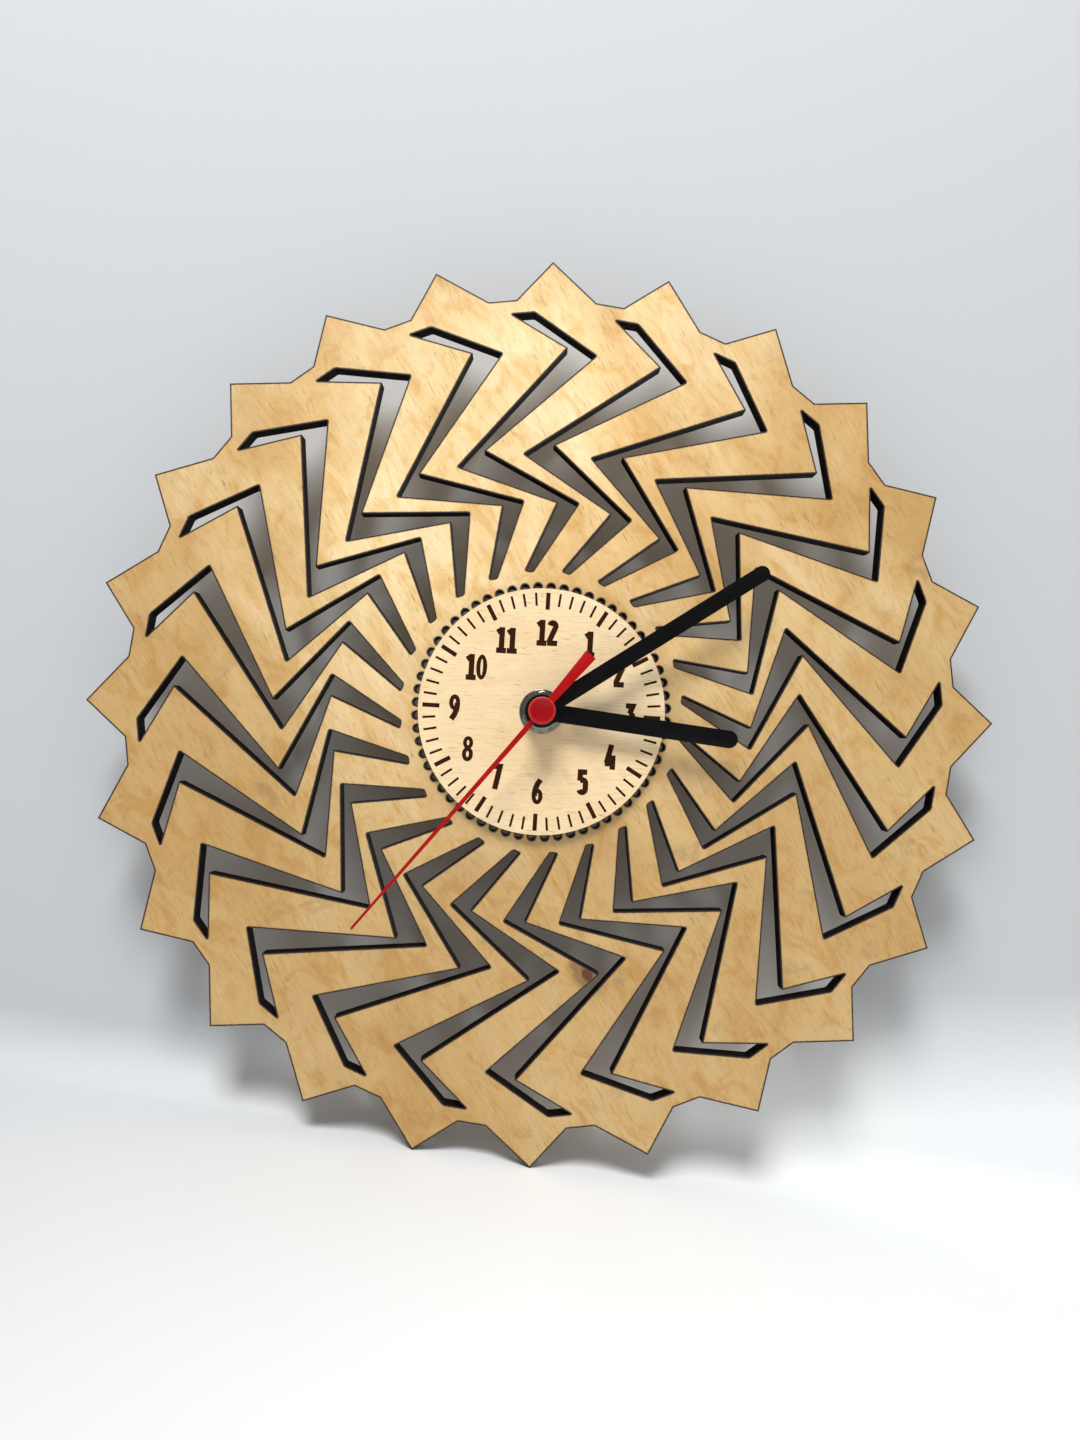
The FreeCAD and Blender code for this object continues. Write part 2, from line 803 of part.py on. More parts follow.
def contact_blade(side):
    """The plate against the bay's end wall and the bowed tongue that the battery presses."""
    wall = inner_half
    face = wall - contact_thickness
    low_y = battery_y - contact_width / 2
    high_y = battery_y + contact_width / 2
    low_z = battery_level - contact_width / 2
    high_z = battery_level + contact_width / 2
    plate = block((face, low_y, low_z), (wall, high_y, high_z))
    bow_half = contact_bow_height / 2
    crest = battery_length / 2 + battery_end_gap
    tongue = [
        Vector(face, low_y + contact_thickness, battery_level - bow_half),
        Vector(crest, low_y + contact_thickness, battery_level),
        Vector(face, low_y + contact_thickness, battery_level + bow_half),
    ]
    bow = Part.Face(Part.makePolygon(tongue + tongue[:1]))
    bow = bow.extrude(Vector(0, contact_width - 2 * contact_thickness, 0))
    blade = plate.fuse(bow)
    if side < 0:
        blade = blade.mirror(Vector(0, 0, 0), Vector(1, 0, 0))
    return blade


strip_top = housing_depth - locating_rim_height - fit_clearance
strip_low = strip_top - contact_strip_width
partition_high = -train_reach
middle_plate_low = (coil_flange_radius + middle_plate_gap - coil_offset, partition_high + middle_plate_gap)
middle_plate_high = (inner_half - middle_plate_gap, inner_high - middle_plate_gap)


def make_negative_contact():
    """The left blade, with a strip that passes the partition and runs up to the board."""
    wall = -inner_half
    face = wall + contact_thickness
    low_y = battery_y + contact_width / 2 - contact_strip_width
    board_y = board_low[1] + contact_foot_length
    riser = block((wall, low_y, battery_level), (face, battery_y + contact_width / 2, strip_top))
    strip = block((wall, low_y, strip_low), (face, board_y, strip_top))
    drop = block((wall, board_y - contact_foot_length, board_top), (face, board_y, strip_top))
    foot = block((wall, board_y - contact_foot_length, board_top),
                 (board_low[0] + contact_foot_length, board_y, board_top + contact_thickness))
    return joined([contact_blade(-1), riser, strip, drop, foot])


def make_positive_contact():
    """The right blade, with a strip along the partition and up past the coil to the board."""
    wall = inner_half
    face = wall - contact_thickness
    low_y = battery_y + contact_width / 2 - contact_strip_width
    strip_y = partition_high + contact_thickness
    left = -coil_offset - contact_thickness
    board_y = board_low[1] + contact_foot_length
    riser = block((face, low_y, battery_level), (wall, battery_y + contact_width / 2, strip_top))
    bridge = block((face, low_y, strip_low), (wall, strip_y, strip_top))
    strip = block((left, partition_high, strip_low), (wall, strip_y, strip_top))
    run = block((left, partition_high, strip_low), (left + contact_thickness, board_y, strip_top))
    drop = block((left, board_y - contact_foot_length, board_top),
                 (left + contact_thickness, board_y, strip_top))
    return joined([contact_blade(1), riser, bridge, strip, run, drop])


# Movement case

def corner_pillars():
    """The places of the pillars that carry the middle plate."""
    left = middle_plate_low[0] + pillar_inset
    right = middle_plate_high[0] - pillar_inset
    top = middle_plate_high[1] - pillar_inset
    bottom = middle_plate_low[1] + pillar_inset
    return ((right, bottom), (right, top), (left, top))


def blind_pivot(place):
    """The hole that a lower pivot turns in."""
    top = case_back + pivot_pad_height
    return cylinder(pivot_radius + pivot_clearance, top - pivot_depth, top + overrun, place)


def hanger_tongues(low_y, high_y):
    """The two tongues that hold the hanger clip in the case's top wall."""
    half_width = hanger_tongue_width / 2
    half_height = hanger_tongue_height / 2
    tongues = []
    for side in (-1, 1):
        x = side * hanger_tongue_spacing / 2
        tongues.append(block((x - half_width, low_y, hanger_tongue_level - half_height),
                             (x + half_width, high_y, hanger_tongue_level + half_height)))
    return tongues


def make_rear_housing():
    """The open-backed case: train room above, battery bay below, posts and a pad for pivots."""
    shell = rounded_block((-case_half, case_low, 0), (case_half, case_high, housing_depth),
                          case_corner_radius)
    room = rounded_block((-inner_half, partition_high, case_back),
                         (inner_half, inner_high, housing_depth + overrun), case_wall,
                         lambda x, y: y > 0)
    bay = block((-inner_half, bay_low, -overrun), (inner_half, bay_high, housing_depth + overrun))
    body = shell.cut([room, bay])
    foot = case_back - fit_clearance
    posts = [square_post(pillar_width, foot, middle_plate_level, place) for place in corner_pillars()]
    for place in motor_post_places:
        posts.append(square_post(motor_post_width, foot, stator_level, place))
        posts.append(cylinder(motor_pin_radius, stator_level, middle_plate_level, place))
    for place in board_post_places:
        posts.append(square_post(board_post_width, foot, board_level, place))
    pivots = (centre_place, third_place, intermediate_place, rotor_place)
    pad_low = [min(place[axis] for place in pivots) - pivot_pad_margin for axis in (0, 1)]
    pad_high = [max(place[axis] for place in pivots) + pivot_pad_margin for axis in (0, 1)]
    posts.append(block(pad_low + [foot], pad_high + [case_back + pivot_pad_height]))
    cup = cylinder(recess_radius + recess_wall, 0, recess_depth + recess_wall, setting_place)
    body = joined([body, cup] + posts)
    cuts = [blind_pivot(place) for place in pivots]
    cuts.append(cylinder(recess_radius, -overrun, recess_depth, setting_place))
    cuts.append(cylinder(setting_arbor_radius + running_clearance, 0, recess_depth + recess_wall + overrun,
                         setting_place))
    cuts.append(Part.makeCylinder(thumb_notch_radius, case_wall + 2 * overrun,
                                  Vector(0, case_low - overrun, 0), Vector(0, 1, 0)))
    for side in (-1, 1):
        # The contact strips pass the partition through a slit at each end of it.
        inner = side * (inner_half - contact_thickness - fit_clearance)
        outer = side * inner_half
        cuts.append(block((min(inner, outer), bay_high - overrun, strip_low - fit_clearance),
                          (max(inner, outer), partition_high + overrun, housing_depth + overrun)))
    cuts += hanger_tongues(case_high - case_wall - overrun, case_high + overrun)
    return body.cut(cuts)


def make_middle_plate():
    """The plate between the two floors of the train, on pillars and on the motor's posts."""
    low = middle_plate_low + (middle_plate_level,)
    high = middle_plate_high + (middle_plate_top,)
    plate = block(low, high)
    below = middle_plate_level - overrun
    above = middle_plate_top + overrun
    holes = [
        cylinder(minute_bore_radius, below, above, centre_place),
        cylinder(tip_reach(third_pinion_teeth, centre_module) + train_clearance, below, above, third_place),
        cylinder(pivot_radius + pivot_clearance, below, above, intermediate_place),
        cylinder(pivot_radius + pivot_clearance, below, above, rotor_place),
        cylinder(setting_tip_reach + train_clearance, below, above, setting_place),
    ]
    return plate.cut(holes)


def bored_post(bore, low, place):
    """A square boss under the lid, bored for a pivot."""
    post = square_post(2 * (bore + boss_wall), low, housing_depth, place)
    return post.cut(cylinder(bore, low - overrun, housing_depth, place))


def make_front_cover():
    """The front lid, with a locating rim, bosses for upper pivots and the minute work's post."""
    lid = rounded_block((-case_half, case_low, housing_depth), (case_half, case_high, cover_top),
                        case_corner_radius)
    lid = lid.makeChamfer(cover_edge_bevel, rim_edges(lid, cover_top))
    side = inner_half - contact_thickness - 2 * fit_clearance
    rim_low = housing_depth - locating_rim_height
    rim_bottom = partition_high + contact_thickness + 2 * fit_clearance
    rim_top = inner_high - fit_clearance
    rim = rounded_block((-side, rim_bottom, rim_low), (side, rim_top, housing_depth + fit_clearance),
                        case_wall)
    wall = locating_rim_wall
    hollow = block((-side + wall, rim_bottom + wall, rim_low - overrun),
                   (side - wall, rim_top - wall, housing_depth))
    rim = rim.cut(hollow)
    pivot_bore = pivot_radius + pivot_clearance
    third_boss = bored_post(pivot_bore, centre_top + fit_clearance, third_place)
    setting_boss = bored_post(setting_pivot_radius + pivot_clearance, cannon_top + fit_clearance,
                              setting_place)
    shoulder = cylinder(work_post_radius + boss_wall, hour_top + collar_gap, housing_depth, work_place)
    post = cylinder(work_post_radius, centre_top + collar_gap, housing_depth, work_place)
    cover = joined([lid, rim, third_boss, setting_boss, shoulder, post])
    return cover.cut(cylinder(bushing_radius, housing_depth - overrun, cover_top + overrun))


def make_hanger_clip():
    """The clip on top of the case: a keyhole plate at the wall, a flange and two ribs."""
    half = hanger_width / 2
    root = case_high
    top = root + hanger_height
    plate = block((-half, root, 0), (half, top, hanger_thickness))
    plate = plate.makeFillet(hanger_corner_radius,
                             upright_edges(plate, lambda x, y: y > root + hanger_height / 2))
    flange_top = hanger_thickness + hanger_flange_height
    flange = block((-half, root, hanger_thickness), (half, root + hanger_flange_thickness, flange_top))
    ribs = []
    for side in (-half, half - hanger_rib_thickness):
        corners = [
            Vector(side, root + hanger_flange_thickness, hanger_thickness),
            Vector(side, root + hanger_height / 2, hanger_thickness),
            Vector(side, root + hanger_flange_thickness, flange_top),
        ]
        web = Part.Face(Part.makePolygon(corners + corners[:1]))
        ribs.append(web.extrude(Vector(hanger_rib_thickness, 0, 0)))
    hole_y = root + hanger_hole_height
    hole = cylinder(hanger_hole_radius, -overrun, hanger_thickness + overrun, (0, hole_y))
    slot_half = hanger_slot_width / 2
    slot_y = hole_y + hanger_slot_height - slot_half
    slot = block((-slot_half, hole_y, -overrun), (slot_half, slot_y, hanger_thickness + overrun))
    slot_end = cylinder(slot_half, -overrun, hanger_thickness + overrun, (0, slot_y))
    tongues = hanger_tongues(root - case_wall, root)
    return joined([plate, flange] + ribs + tongues).cut([hole, slot, slot_end])


makers = {
    "gear_plate": make_gear_plate,
    "dial_disc": make_dial_disc,
    "rubber_gasket": make_rubber_gasket,
    "nut_washer": make_nut_washer,
    "fixing_nut": make_fixing_nut,
    "threaded_bushing": make_threaded_bushing,
    "hour_hand": make_hour_hand,
    "minute_hand": make_minute_hand,
    "second_hand": make_second_hand,
    "second_hand_cap": make_second_hand_cap,
    "rotor_pinion": make_rotor_pinion,
    "rotor_magnet": make_rotor_magnet,
    "intermediate_wheel": make_intermediate_wheel,
    "second_wheel": make_second_wheel,
    "third_wheel": make_third_wheel,
    "centre_wheel": make_centre_wheel,
    "minute_arbor": make_minute_arbor,
    "minute_work_wheel": make_minute_work_wheel,
    "hour_wheel": make_hour_wheel,
    "setting_arbor": make_setting_arbor,
    "setting_knob": make_setting_knob,
    "stator": make_stator,
    "coil_core": make_coil_core,
    "coil_bobbin": make_coil_bobbin,
    "coil_winding": make_coil_winding,
    "circuit_board": make_circuit_board,
    "chip_cover": make_chip_cover,
    "quartz_crystal": make_quartz_crystal,
    "battery_can": make_battery_can,
    "battery_cap": make_battery_cap,
    "negative_contact": make_negative_contact,
    "positive_contact": make_positive_contact,
    "rear_housing": make_rear_housing,
    "middle_plate": make_middle_plate,
    "front_cover": make_front_cover,
    "hanger_clip": make_hanger_clip,
}

os.makedirs("parts", exist_ok=True)
for name, make in makers.items():
    piece = make()
    piece.rotate(Vector(0, 0, 0), Vector(1, 0, 0), 90)
    piece.exportStep(os.path.join("parts", name + ".step"))
    print(name, "solids", len(piece.Solids), "valid", piece.isValid(), "mm3", round(piece.Volume, 2))
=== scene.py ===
# %% [markdown]
# A toothed fretwork wall clock in birch plywood, dressed for its portrait.
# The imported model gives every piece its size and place. This notebook adds what an eye looks
# for: grain, scorched edges, engraved marks, gloss on the hands and the moulding's soft corners.
# It works in metres. The dial faces -Y, twelve o'clock is +Z and the wall is the plane Y = 0.

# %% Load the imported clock
import math

import bmesh
import bpy
from mathutils import Matrix, Vector


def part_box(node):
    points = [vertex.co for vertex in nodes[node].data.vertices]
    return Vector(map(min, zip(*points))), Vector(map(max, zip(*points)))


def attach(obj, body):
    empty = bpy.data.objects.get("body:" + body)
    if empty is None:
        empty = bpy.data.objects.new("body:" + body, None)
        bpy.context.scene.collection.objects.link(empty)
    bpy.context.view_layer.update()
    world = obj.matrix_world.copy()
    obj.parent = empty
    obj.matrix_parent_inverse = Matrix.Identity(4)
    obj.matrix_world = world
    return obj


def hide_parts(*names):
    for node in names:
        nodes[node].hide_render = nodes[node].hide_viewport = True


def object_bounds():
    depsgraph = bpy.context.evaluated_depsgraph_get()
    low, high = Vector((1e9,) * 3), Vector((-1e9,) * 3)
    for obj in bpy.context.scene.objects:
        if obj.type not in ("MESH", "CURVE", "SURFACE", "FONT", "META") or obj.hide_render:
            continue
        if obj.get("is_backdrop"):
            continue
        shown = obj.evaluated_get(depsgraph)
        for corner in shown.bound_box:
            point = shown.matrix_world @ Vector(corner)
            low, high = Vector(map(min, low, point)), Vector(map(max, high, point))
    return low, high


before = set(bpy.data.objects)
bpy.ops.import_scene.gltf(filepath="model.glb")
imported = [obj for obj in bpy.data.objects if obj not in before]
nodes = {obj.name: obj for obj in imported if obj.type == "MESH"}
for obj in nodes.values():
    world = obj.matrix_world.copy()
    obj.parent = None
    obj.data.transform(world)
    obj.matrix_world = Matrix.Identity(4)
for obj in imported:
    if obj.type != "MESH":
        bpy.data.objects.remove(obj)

cad_low, cad_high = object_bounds()
MM = 0.001
print("loaded", len(nodes), "nodes,", round((cad_high - cad_low).x / MM, 1), "mm wide")

# %% [markdown]
# Blender's operators act on whatever is selected, and the loaded nodes arrive selected.
# So each step begins by letting go of everything and taking hold of one piece. Inside edit
# mode the faces and edges are picked by a test on their place or direction, which keeps
# working when a size changes, where a list of numbers would not.

# %% Hold one piece at a time
def hold(*pieces):
    """Let go of everything, then take hold of these pieces. With none, it only lets go."""
    if bpy.context.object and bpy.context.object.mode != "OBJECT":
        bpy.ops.object.mode_set(mode="OBJECT")
    bpy.ops.object.select_all(action="DESELECT")
    for piece in pieces:
        piece.select_set(True)
    if pieces:
        bpy.context.view_layer.objects.active = pieces[0]


def open_mesh(piece, kind="FACE", action="DESELECT"):
    """Edit mode with nothing picked, or with everything when the action is SELECT."""
    hold(piece)
    bpy.ops.object.mode_set(mode="EDIT")
    bpy.ops.mesh.select_mode(type=kind)
    bpy.ops.mesh.select_all(action=action)


def pick(piece, kind, wanted):
    """Pick the faces, edges or vertices that the test wants, and say how many there are."""
    mesh = bmesh.from_edit_mesh(piece.data)
    bpy.ops.mesh.select_all(action="DESELECT")
    parts = {"FACE": mesh.faces, "EDGE": mesh.edges, "VERT": mesh.verts}[kind]
    chosen = [part for part in parts if wanted(part)]
    for part in chosen:
        part.select_set(True)
    mesh.select_flush_mode()
    bmesh.update_edit_mesh(piece.data)
    return len(chosen)


def close_mesh():
    bpy.ops.object.mode_set(mode="OBJECT")


# %% [markdown]
# A finished piece keeps its object at the origin and its place in its mesh, like the nodes,
# so that a pattern on Object coordinates lies still on it. Flat pieces are drawn lying on the
# bench, face up, and then stood up: the bench's +Z turns to the viewer, which is -Y.

# %% Put a piece in its place
def settle(piece, name):
    """Move the object's place into its mesh."""
    hold(piece)
    bpy.ops.object.transform_apply(location=True, rotation=True, scale=True)
    piece.name = name
    piece.data.name = name
    return piece


def stand_up(piece, name, turn=0):
    """Turn the piece clockwise on the bench, by an angle in degrees, then stand it up."""
    for rotation in ((0, 0, -math.radians(turn)), (math.pi / 2, 0, 0)):
        piece.rotation_euler = rotation
        settle(piece, name)
    return piece


def apply_modifier(piece, kind, **settings):
    hold(piece)
    modifier = piece.modifiers.new(kind.lower(), kind)
    for key, value in settings.items():
        setattr(modifier, key, value)
    bpy.ops.object.modifier_apply(modifier=modifier.name)


def smooth(piece, degrees=30):
    hold(piece)
    bpy.ops.object.shade_smooth_by_angle(angle=math.radians(degrees))


def joined(pieces):
    hold(*pieces)
    bpy.ops.object.join()
    return bpy.context.object


def put_on(piece, *materials):
    """The piece wears only these materials, and the first one covers it."""
    piece.data.materials.clear()
    for material in materials:
        piece.data.materials.append(material)


# %% [markdown]
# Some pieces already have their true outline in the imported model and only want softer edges.
# Their mesh arrives as loose triangles, so a copy is welded, its flat areas are merged into
# whole faces, and its sharp edges get the small round that a mould or a press leaves.

# %% Copy a node and weld it
def welded_copy(node, name):
    copy = bpy.data.objects.new(name, nodes[node].data.copy())
    copy.data.name = name
    copy.data.materials.clear()
    bpy.context.scene.collection.objects.link(copy)
    open_mesh(copy, "VERT", "SELECT")
    bpy.ops.mesh.remove_doubles(threshold=0.002 * MM)
    bpy.ops.mesh.dissolve_limited(angle_limit=math.radians(0.5))
    close_mesh()
    return copy


def soften(piece, width, degrees=30, segments=2):
    apply_modifier(piece, "BEVEL", width=width, segments=segments, limit_method="ANGLE",
                   angle_limit=math.radians(degrees), use_clamp_overlap=True,
                   harden_normals=False)
    smooth(piece, degrees)


def in_place_of(piece, node, body):
    """The piece stands for a node: it rides on the same body, and the node is hidden."""
    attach(piece, body)
    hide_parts(node)
    print(piece.name, "stands for", node, "with", len(piece.data.polygons), "faces")


# %% [markdown]
# Materials are trees of small nodes. A few helpers keep them readable: tone writes a colour
# the way a paint chart gives it, and each of the others adds one node and returns its output.
# Every pattern is laid out in millimetres on Object coordinates.

# %% Small tools for materials
def tone(red, green, blue):
    """A colour given from 0 to 255 as a screen shows it, as the shader wants it."""
    parts = []
    for value in (red, green, blue):
        share = value / 255
        parts.append(share / 12.92 if share <= 0.04045 else ((share + 0.055) / 1.055) ** 2.4)
    return (*parts, 1)


class Recipe:
    """One material while it is being mixed."""

    def __init__(self, name):
        self.material = bpy.data.materials.new(name)
        self.material.use_nodes = True
        self.tree = self.material.node_tree
        self.shader = self.tree.nodes["Principled BSDF"]

    def feed(self, node, sockets):
        """Set each socket to a plain value, or link another node's output to it."""
        for socket, value in sockets.items():
            if isinstance(value, bpy.types.NodeSocket):
                self.tree.links.new(value, node.inputs[socket])
            else:
                node.inputs[socket].default_value = value

    def add(self, kind, sockets=None, **settings):
        """Add a node with its settings, and feed its sockets by name or by number."""
        node = self.tree.nodes.new(kind)
        for key, value in settings.items():
            setattr(node, key, value)
        self.feed(node, sockets or {})
        return node

    def space(self, turn=0, stretch=(1, 1, 1), centre=(0, 0, 0)):
        """Object coordinates in millimetres, turned clockwise on the dial and stretched."""
        place = self.add("ShaderNodeTexCoord").outputs["Object"]
        moved = self.add("ShaderNodeVectorMath", {0: place, 1: [part * MM for part in centre]},
                         operation="SUBTRACT").outputs[0]
        turned = self.add("ShaderNodeMapping", {
            "Vector": moved, "Rotation": (0, math.radians(-turn), 0)}).outputs[0]
        return self.add("ShaderNodeVectorMath", {0: turned, 1: [part / MM for part in stretch]},
                        operation="MULTIPLY").outputs[0]

    def noise(self, space, size, detail=3, rough=0.5, bend=0):
        """Soft clouds whose lumps are about the size given, in the space's millimetres."""
        return self.add("ShaderNodeTexNoise", {
            "Vector": space, "Scale": 1 / size, "Detail": detail, "Roughness": rough,
            "Distortion": bend}).outputs["Fac"]

    def ramp(self, value, *stops):
        """Stops are pairs of a place from 0 to 1 and a grey or a colour there."""
        node = self.add("ShaderNodeValToRGB", {"Fac": value})
        marks = node.color_ramp.elements
        while len(marks) < len(stops):
            marks.new(0.5)
        for mark, (place, colour) in zip(marks, stops):
            mark.position = place
            mark.color = colour if isinstance(colour, tuple) else (colour, colour, colour, 1)
        return node.outputs["Color"]

    def length(self, space):
        """How far each place lies from the space's centre."""
        return self.add("ShaderNodeVectorMath", {0: space}, operation="LENGTH").outputs["Value"]

    def along(self, space, axis):
        """One coordinate of each place."""
        return self.add("ShaderNodeSeparateXYZ", {0: space}).outputs[axis]

    def sum(self, operation, first, second=0.0):
        """Arithmetic with two values."""
        return self.add("ShaderNodeMath", {0: first, 1: second}, operation=operation).outputs[0]

    def blend(self, share, first, second, mode="MIX"):
        """Go from the first colour to the second. The node's sockets 6 and 7 are its colours."""
        return self.add("ShaderNodeMix", {0: share, 6: first, 7: second}, data_type="RGBA",
                        blend_type=mode).outputs[2]

    def times(self, first, second):
        return self.blend(1.0, first, second, "MULTIPLY")

    def bump(self, height, depth, below=None):
        sockets = {"Height": height, "Distance": depth, "Strength": 1}
        if below:
            sockets["Normal"] = below
        return self.add("ShaderNodeBump", sockets).outputs["Normal"]

    def finish(self, colour, rough, normal=None, metal=0.0, coat=0.0, coat_rough=0.1, shine=0.5):
        """Feed the shader; shine is how much light a clear surface throws back."""
        sockets = {"Base Color": colour, "Specular IOR Level": shine, "Roughness": rough,
                   "Metallic": metal, "Coat Weight": coat, "Coat Roughness": coat_rough}
        if normal:
            sockets["Normal"] = normal
        self.feed(self.shader, sockets)
        return self.material


print("a mid grey of 128 is", round(tone(128, 128, 128)[0], 3), "to the shader")

# %% [markdown]
# Rotary-cut birch is pale, with soft golden clouds along the grain, fine fibres, and short dark
# flecks where a pore was cut. Each is a noise stretched along the grain, from broad to thin. The
# sheet is palest in its upper middle, and one more tone, a painted shade, grows with the distance
# from there, as the light falls off towards the foot and the sides. Brown smudges, which add to
# that painted shade, are laid only there. The laser leaves a scorched line beside each cut. Its
# strength comes from an attribute on the mesh, so it follows the cut exactly, and a little noise
# makes it ragged.

# %% Mix the plywood faces
def birch_face(name, grain_turn, pale, warm, deep, painted_shade_tone, painted_shade_share, mottling, knot=None):
    mix = Recipe(name)

    def grain(stretch, size, turn=0, **settings):
        """Noise drawn out along the grain: the smaller the stretch, the longer its lumps."""
        return mix.noise(mix.space(grain_turn + turn, (1, 1, stretch)), size, **settings)

    clouds = grain(0.3, 11, detail=5, rough=0.62, bend=1.2)
    patches = grain(0.7, 46, bend=0.5)
    colour = mix.blend(mix.ramp(clouds, (0.36, 0), (0.66, 1)), tone(*pale), tone(*warm))
    colour = mix.blend(mix.ramp(patches, (0.44, 0), (0.7, 0.7)), colour, tone(*deep))
    # painted shade: a darker tone grows with the distance from the sheet's upper middle, where the
    # light is brightest
    away = mix.length(mix.space(0, (1, 0, 1), (-8, 0, 84)))
    reach = mix.sum("DIVIDE", mix.sum("ADD", away, mix.sum("MULTIPLY", patches, 60)), 260)
    colour = mix.blend(mix.ramp(reach, (0.27, 0), (0.64, painted_shade_share)), colour, tone(*painted_shade_tone))

    mottle = grain(0.6, 8, detail=4, rough=0.62, bend=1.0)
    golden = mix.ramp(mottle, (0.34, (1.05, 1.06, 1.1, 1)), (0.5, 1.0),
                      (0.62, (0.9, 0.78, 0.56, 1)), (0.76, (0.8, 0.64, 0.4, 1)))
    broad = mix.ramp(patches, (0.36, (1.04, 1.04, 1.04, 1)), (0.64, (0.88, 0.8, 0.66, 1)))
    for shade in (golden, broad):
        colour = mix.blend(mottling, colour, shade, "MULTIPLY")
    # brown smudges kept to the far part where the painted shade lies, so they are smudges and
    # painted shade together
    smudges = mix.noise(mix.space(), 12, detail=4, rough=0.6, bend=0.6)
    smudge_and_shade = mix.times(mix.ramp(smudges, (0.6, 0), (0.74, 0.55)),
                        mix.ramp(reach, (0.45, 0), (0.65, 1)))
    colour = mix.blend(smudge_and_shade, colour, tone(150, 122, 80))

    fibres = grain(0.05, 0.3, detail=4, rough=0.75)
    colour = mix.times(colour, mix.ramp(fibres, (0.28, 0.8), (0.5, 1.0), (0.78, 1.06)))
    hairs = grain(0.07, 0.36, turn=4, detail=2, rough=0.6)
    hair_groups = grain(0.6, 7, rough=0.7)
    dark_hairs = mix.times(mix.ramp(hairs, (0.6, 0), (0.7, 0.75)),
                           mix.ramp(hair_groups, (0.42, 0), (0.62, 1)))
    colour = mix.blend(dark_hairs, colour, tone(140, 98, 52))
    specks = grain(0.5, 0.75, detail=2)
    speck_groups = grain(1, 30, detail=2)
    dark_specks = mix.times(mix.ramp(specks, (0.7, 0), (0.76, 0.8)),
                            mix.ramp(speck_groups, (0.5, 0), (0.6, 1)))
    colour = mix.blend(dark_specks, colour, tone(84, 52, 26))

    if knot:
        around = mix.length(mix.space(grain_turn, (1, 0, 0.62), knot))
        wander = mix.sum("MULTIPLY", mix.noise(mix.space(), 2.2), 2.6)
        knot_reach = mix.sum("DIVIDE", mix.sum("ADD", around, wander), 10)
        rings = mix.ramp(knot_reach, (0.26, 1), (0.36, 0.55), (0.46, 0.62), (0.7, 0))
        colour = mix.blend(rings, colour, tone(88, 48, 20))

    scorch = mix.add("ShaderNodeAttribute", attribute_name="scorch").outputs["Fac"]
    ragged = mix.sum("MULTIPLY", mix.noise(mix.space(), 0.9, detail=4, rough=0.75), 0.75)
    burnt = mix.ramp(mix.sum("SUBTRACT", mix.sum("MULTIPLY", scorch, 1.55), ragged),
                     (0.0, 0), (0.3, 0.35), (0.6, 1))
    toast = mix.ramp(burnt, (0, tone(176, 122, 62)), (0.55, tone(86, 52, 26)),
                     (1, tone(34, 20, 12)))
    colour = mix.blend(burnt, colour, toast)

    sheen = mix.ramp(fibres, (0.2, 0.62), (0.8, 0.48))
    relief = mix.bump(fibres, 0.03 * MM, mix.bump(clouds, 0.04 * MM))
    return mix.finish(colour, sheen, relief, coat=0.04, coat_rough=0.4)


plate_face = birch_face("birch_plate", -35, (246, 221, 172), (236, 200, 138), (224, 180, 112),
                        painted_shade_tone=(188, 152, 94), painted_shade_share=0.78, mottling=0.75,
                        knot=(20.2, 0, -85.6))
dial_face = birch_face("birch_dial", 88, (248, 224, 182), (244, 216, 170), (240, 206, 154),
                       painted_shade_tone=(232, 204, 160), painted_shade_share=0.3, mottling=0.15)
print("birch faces:", plate_face.name, dial_face.name)

# %% [markdown]
# The cut walls show the plies on edge: thin sheets whose grain runs across each other, with
# dark glue between them. The laser chars the walls. Inside the narrow slots they are painted
# nearly black, char and painted shade together, and round the rim they are browner, char
# alone. Stripes across the thickness draw the plies, and a noise that is long across the plies
# draws the fine ridges that the beam leaves.

# %% Mix the charred walls
def charred_wall(name, char_and_shade, brown, share):
    mix = Recipe(name)
    ply = 1.2
    plate_back = 17.3
    depth = mix.sum("ADD", mix.along(mix.space(), "Y"), plate_back)
    layer = mix.ramp(mix.sum("DIVIDE", mix.sum("PINGPONG", depth, ply), ply),
                     (0.04, 0.2), (0.12, 1), (0.5, 0.7), (0.9, 1), (0.97, 0.2))
    ridges = mix.noise(mix.space(0, (1, 0.12, 1)), 0.4, rough=0.7)
    patches = mix.ramp(mix.noise(mix.space(), 6), (0.3, share), (0.7, share * 1.6))
    brownness = mix.sum("MULTIPLY", mix.sum("MULTIPLY", layer, ridges), patches)
    colour = mix.blend(brownness, tone(*char_and_shade), tone(*brown))
    relief = mix.bump(mix.sum("ADD", ridges, mix.sum("MULTIPLY", layer, 0.6)), 0.05 * MM)
    return mix.finish(colour, mix.ramp(ridges, (0.2, 0.9), (0.8, 0.62)), relief, shine=0.05)


# painted shade: the slot walls are painted nearly black for the shade inside the narrow slots, over
# the laser's char; the rim walls keep the char alone
slot_wall = charred_wall("charred_slot", (7, 6, 6), (44, 29, 18), 0.18)
rim_wall = charred_wall("charred_rim", (34, 21, 13), (128, 84, 46), 0.5)
print("walls:", slot_wall.name, rim_wall.name)

# %% [markdown]
# The fretwork plate is one sheet of plywood with everything cut through it, so it is made the
# same way. The toothed outline is drawn by extruding one point from corner to corner. Then the
# face is filled and extruded to the sheet's thickness. A place on the dial is easiest to give as
# a radius and a turn clockwise from twelve, as on a watch.

# %% Draw the toothed blank
def heights(box):
    """The heights of a node's back and front on the bench."""
    low, high = box
    return -high.y, -low.y


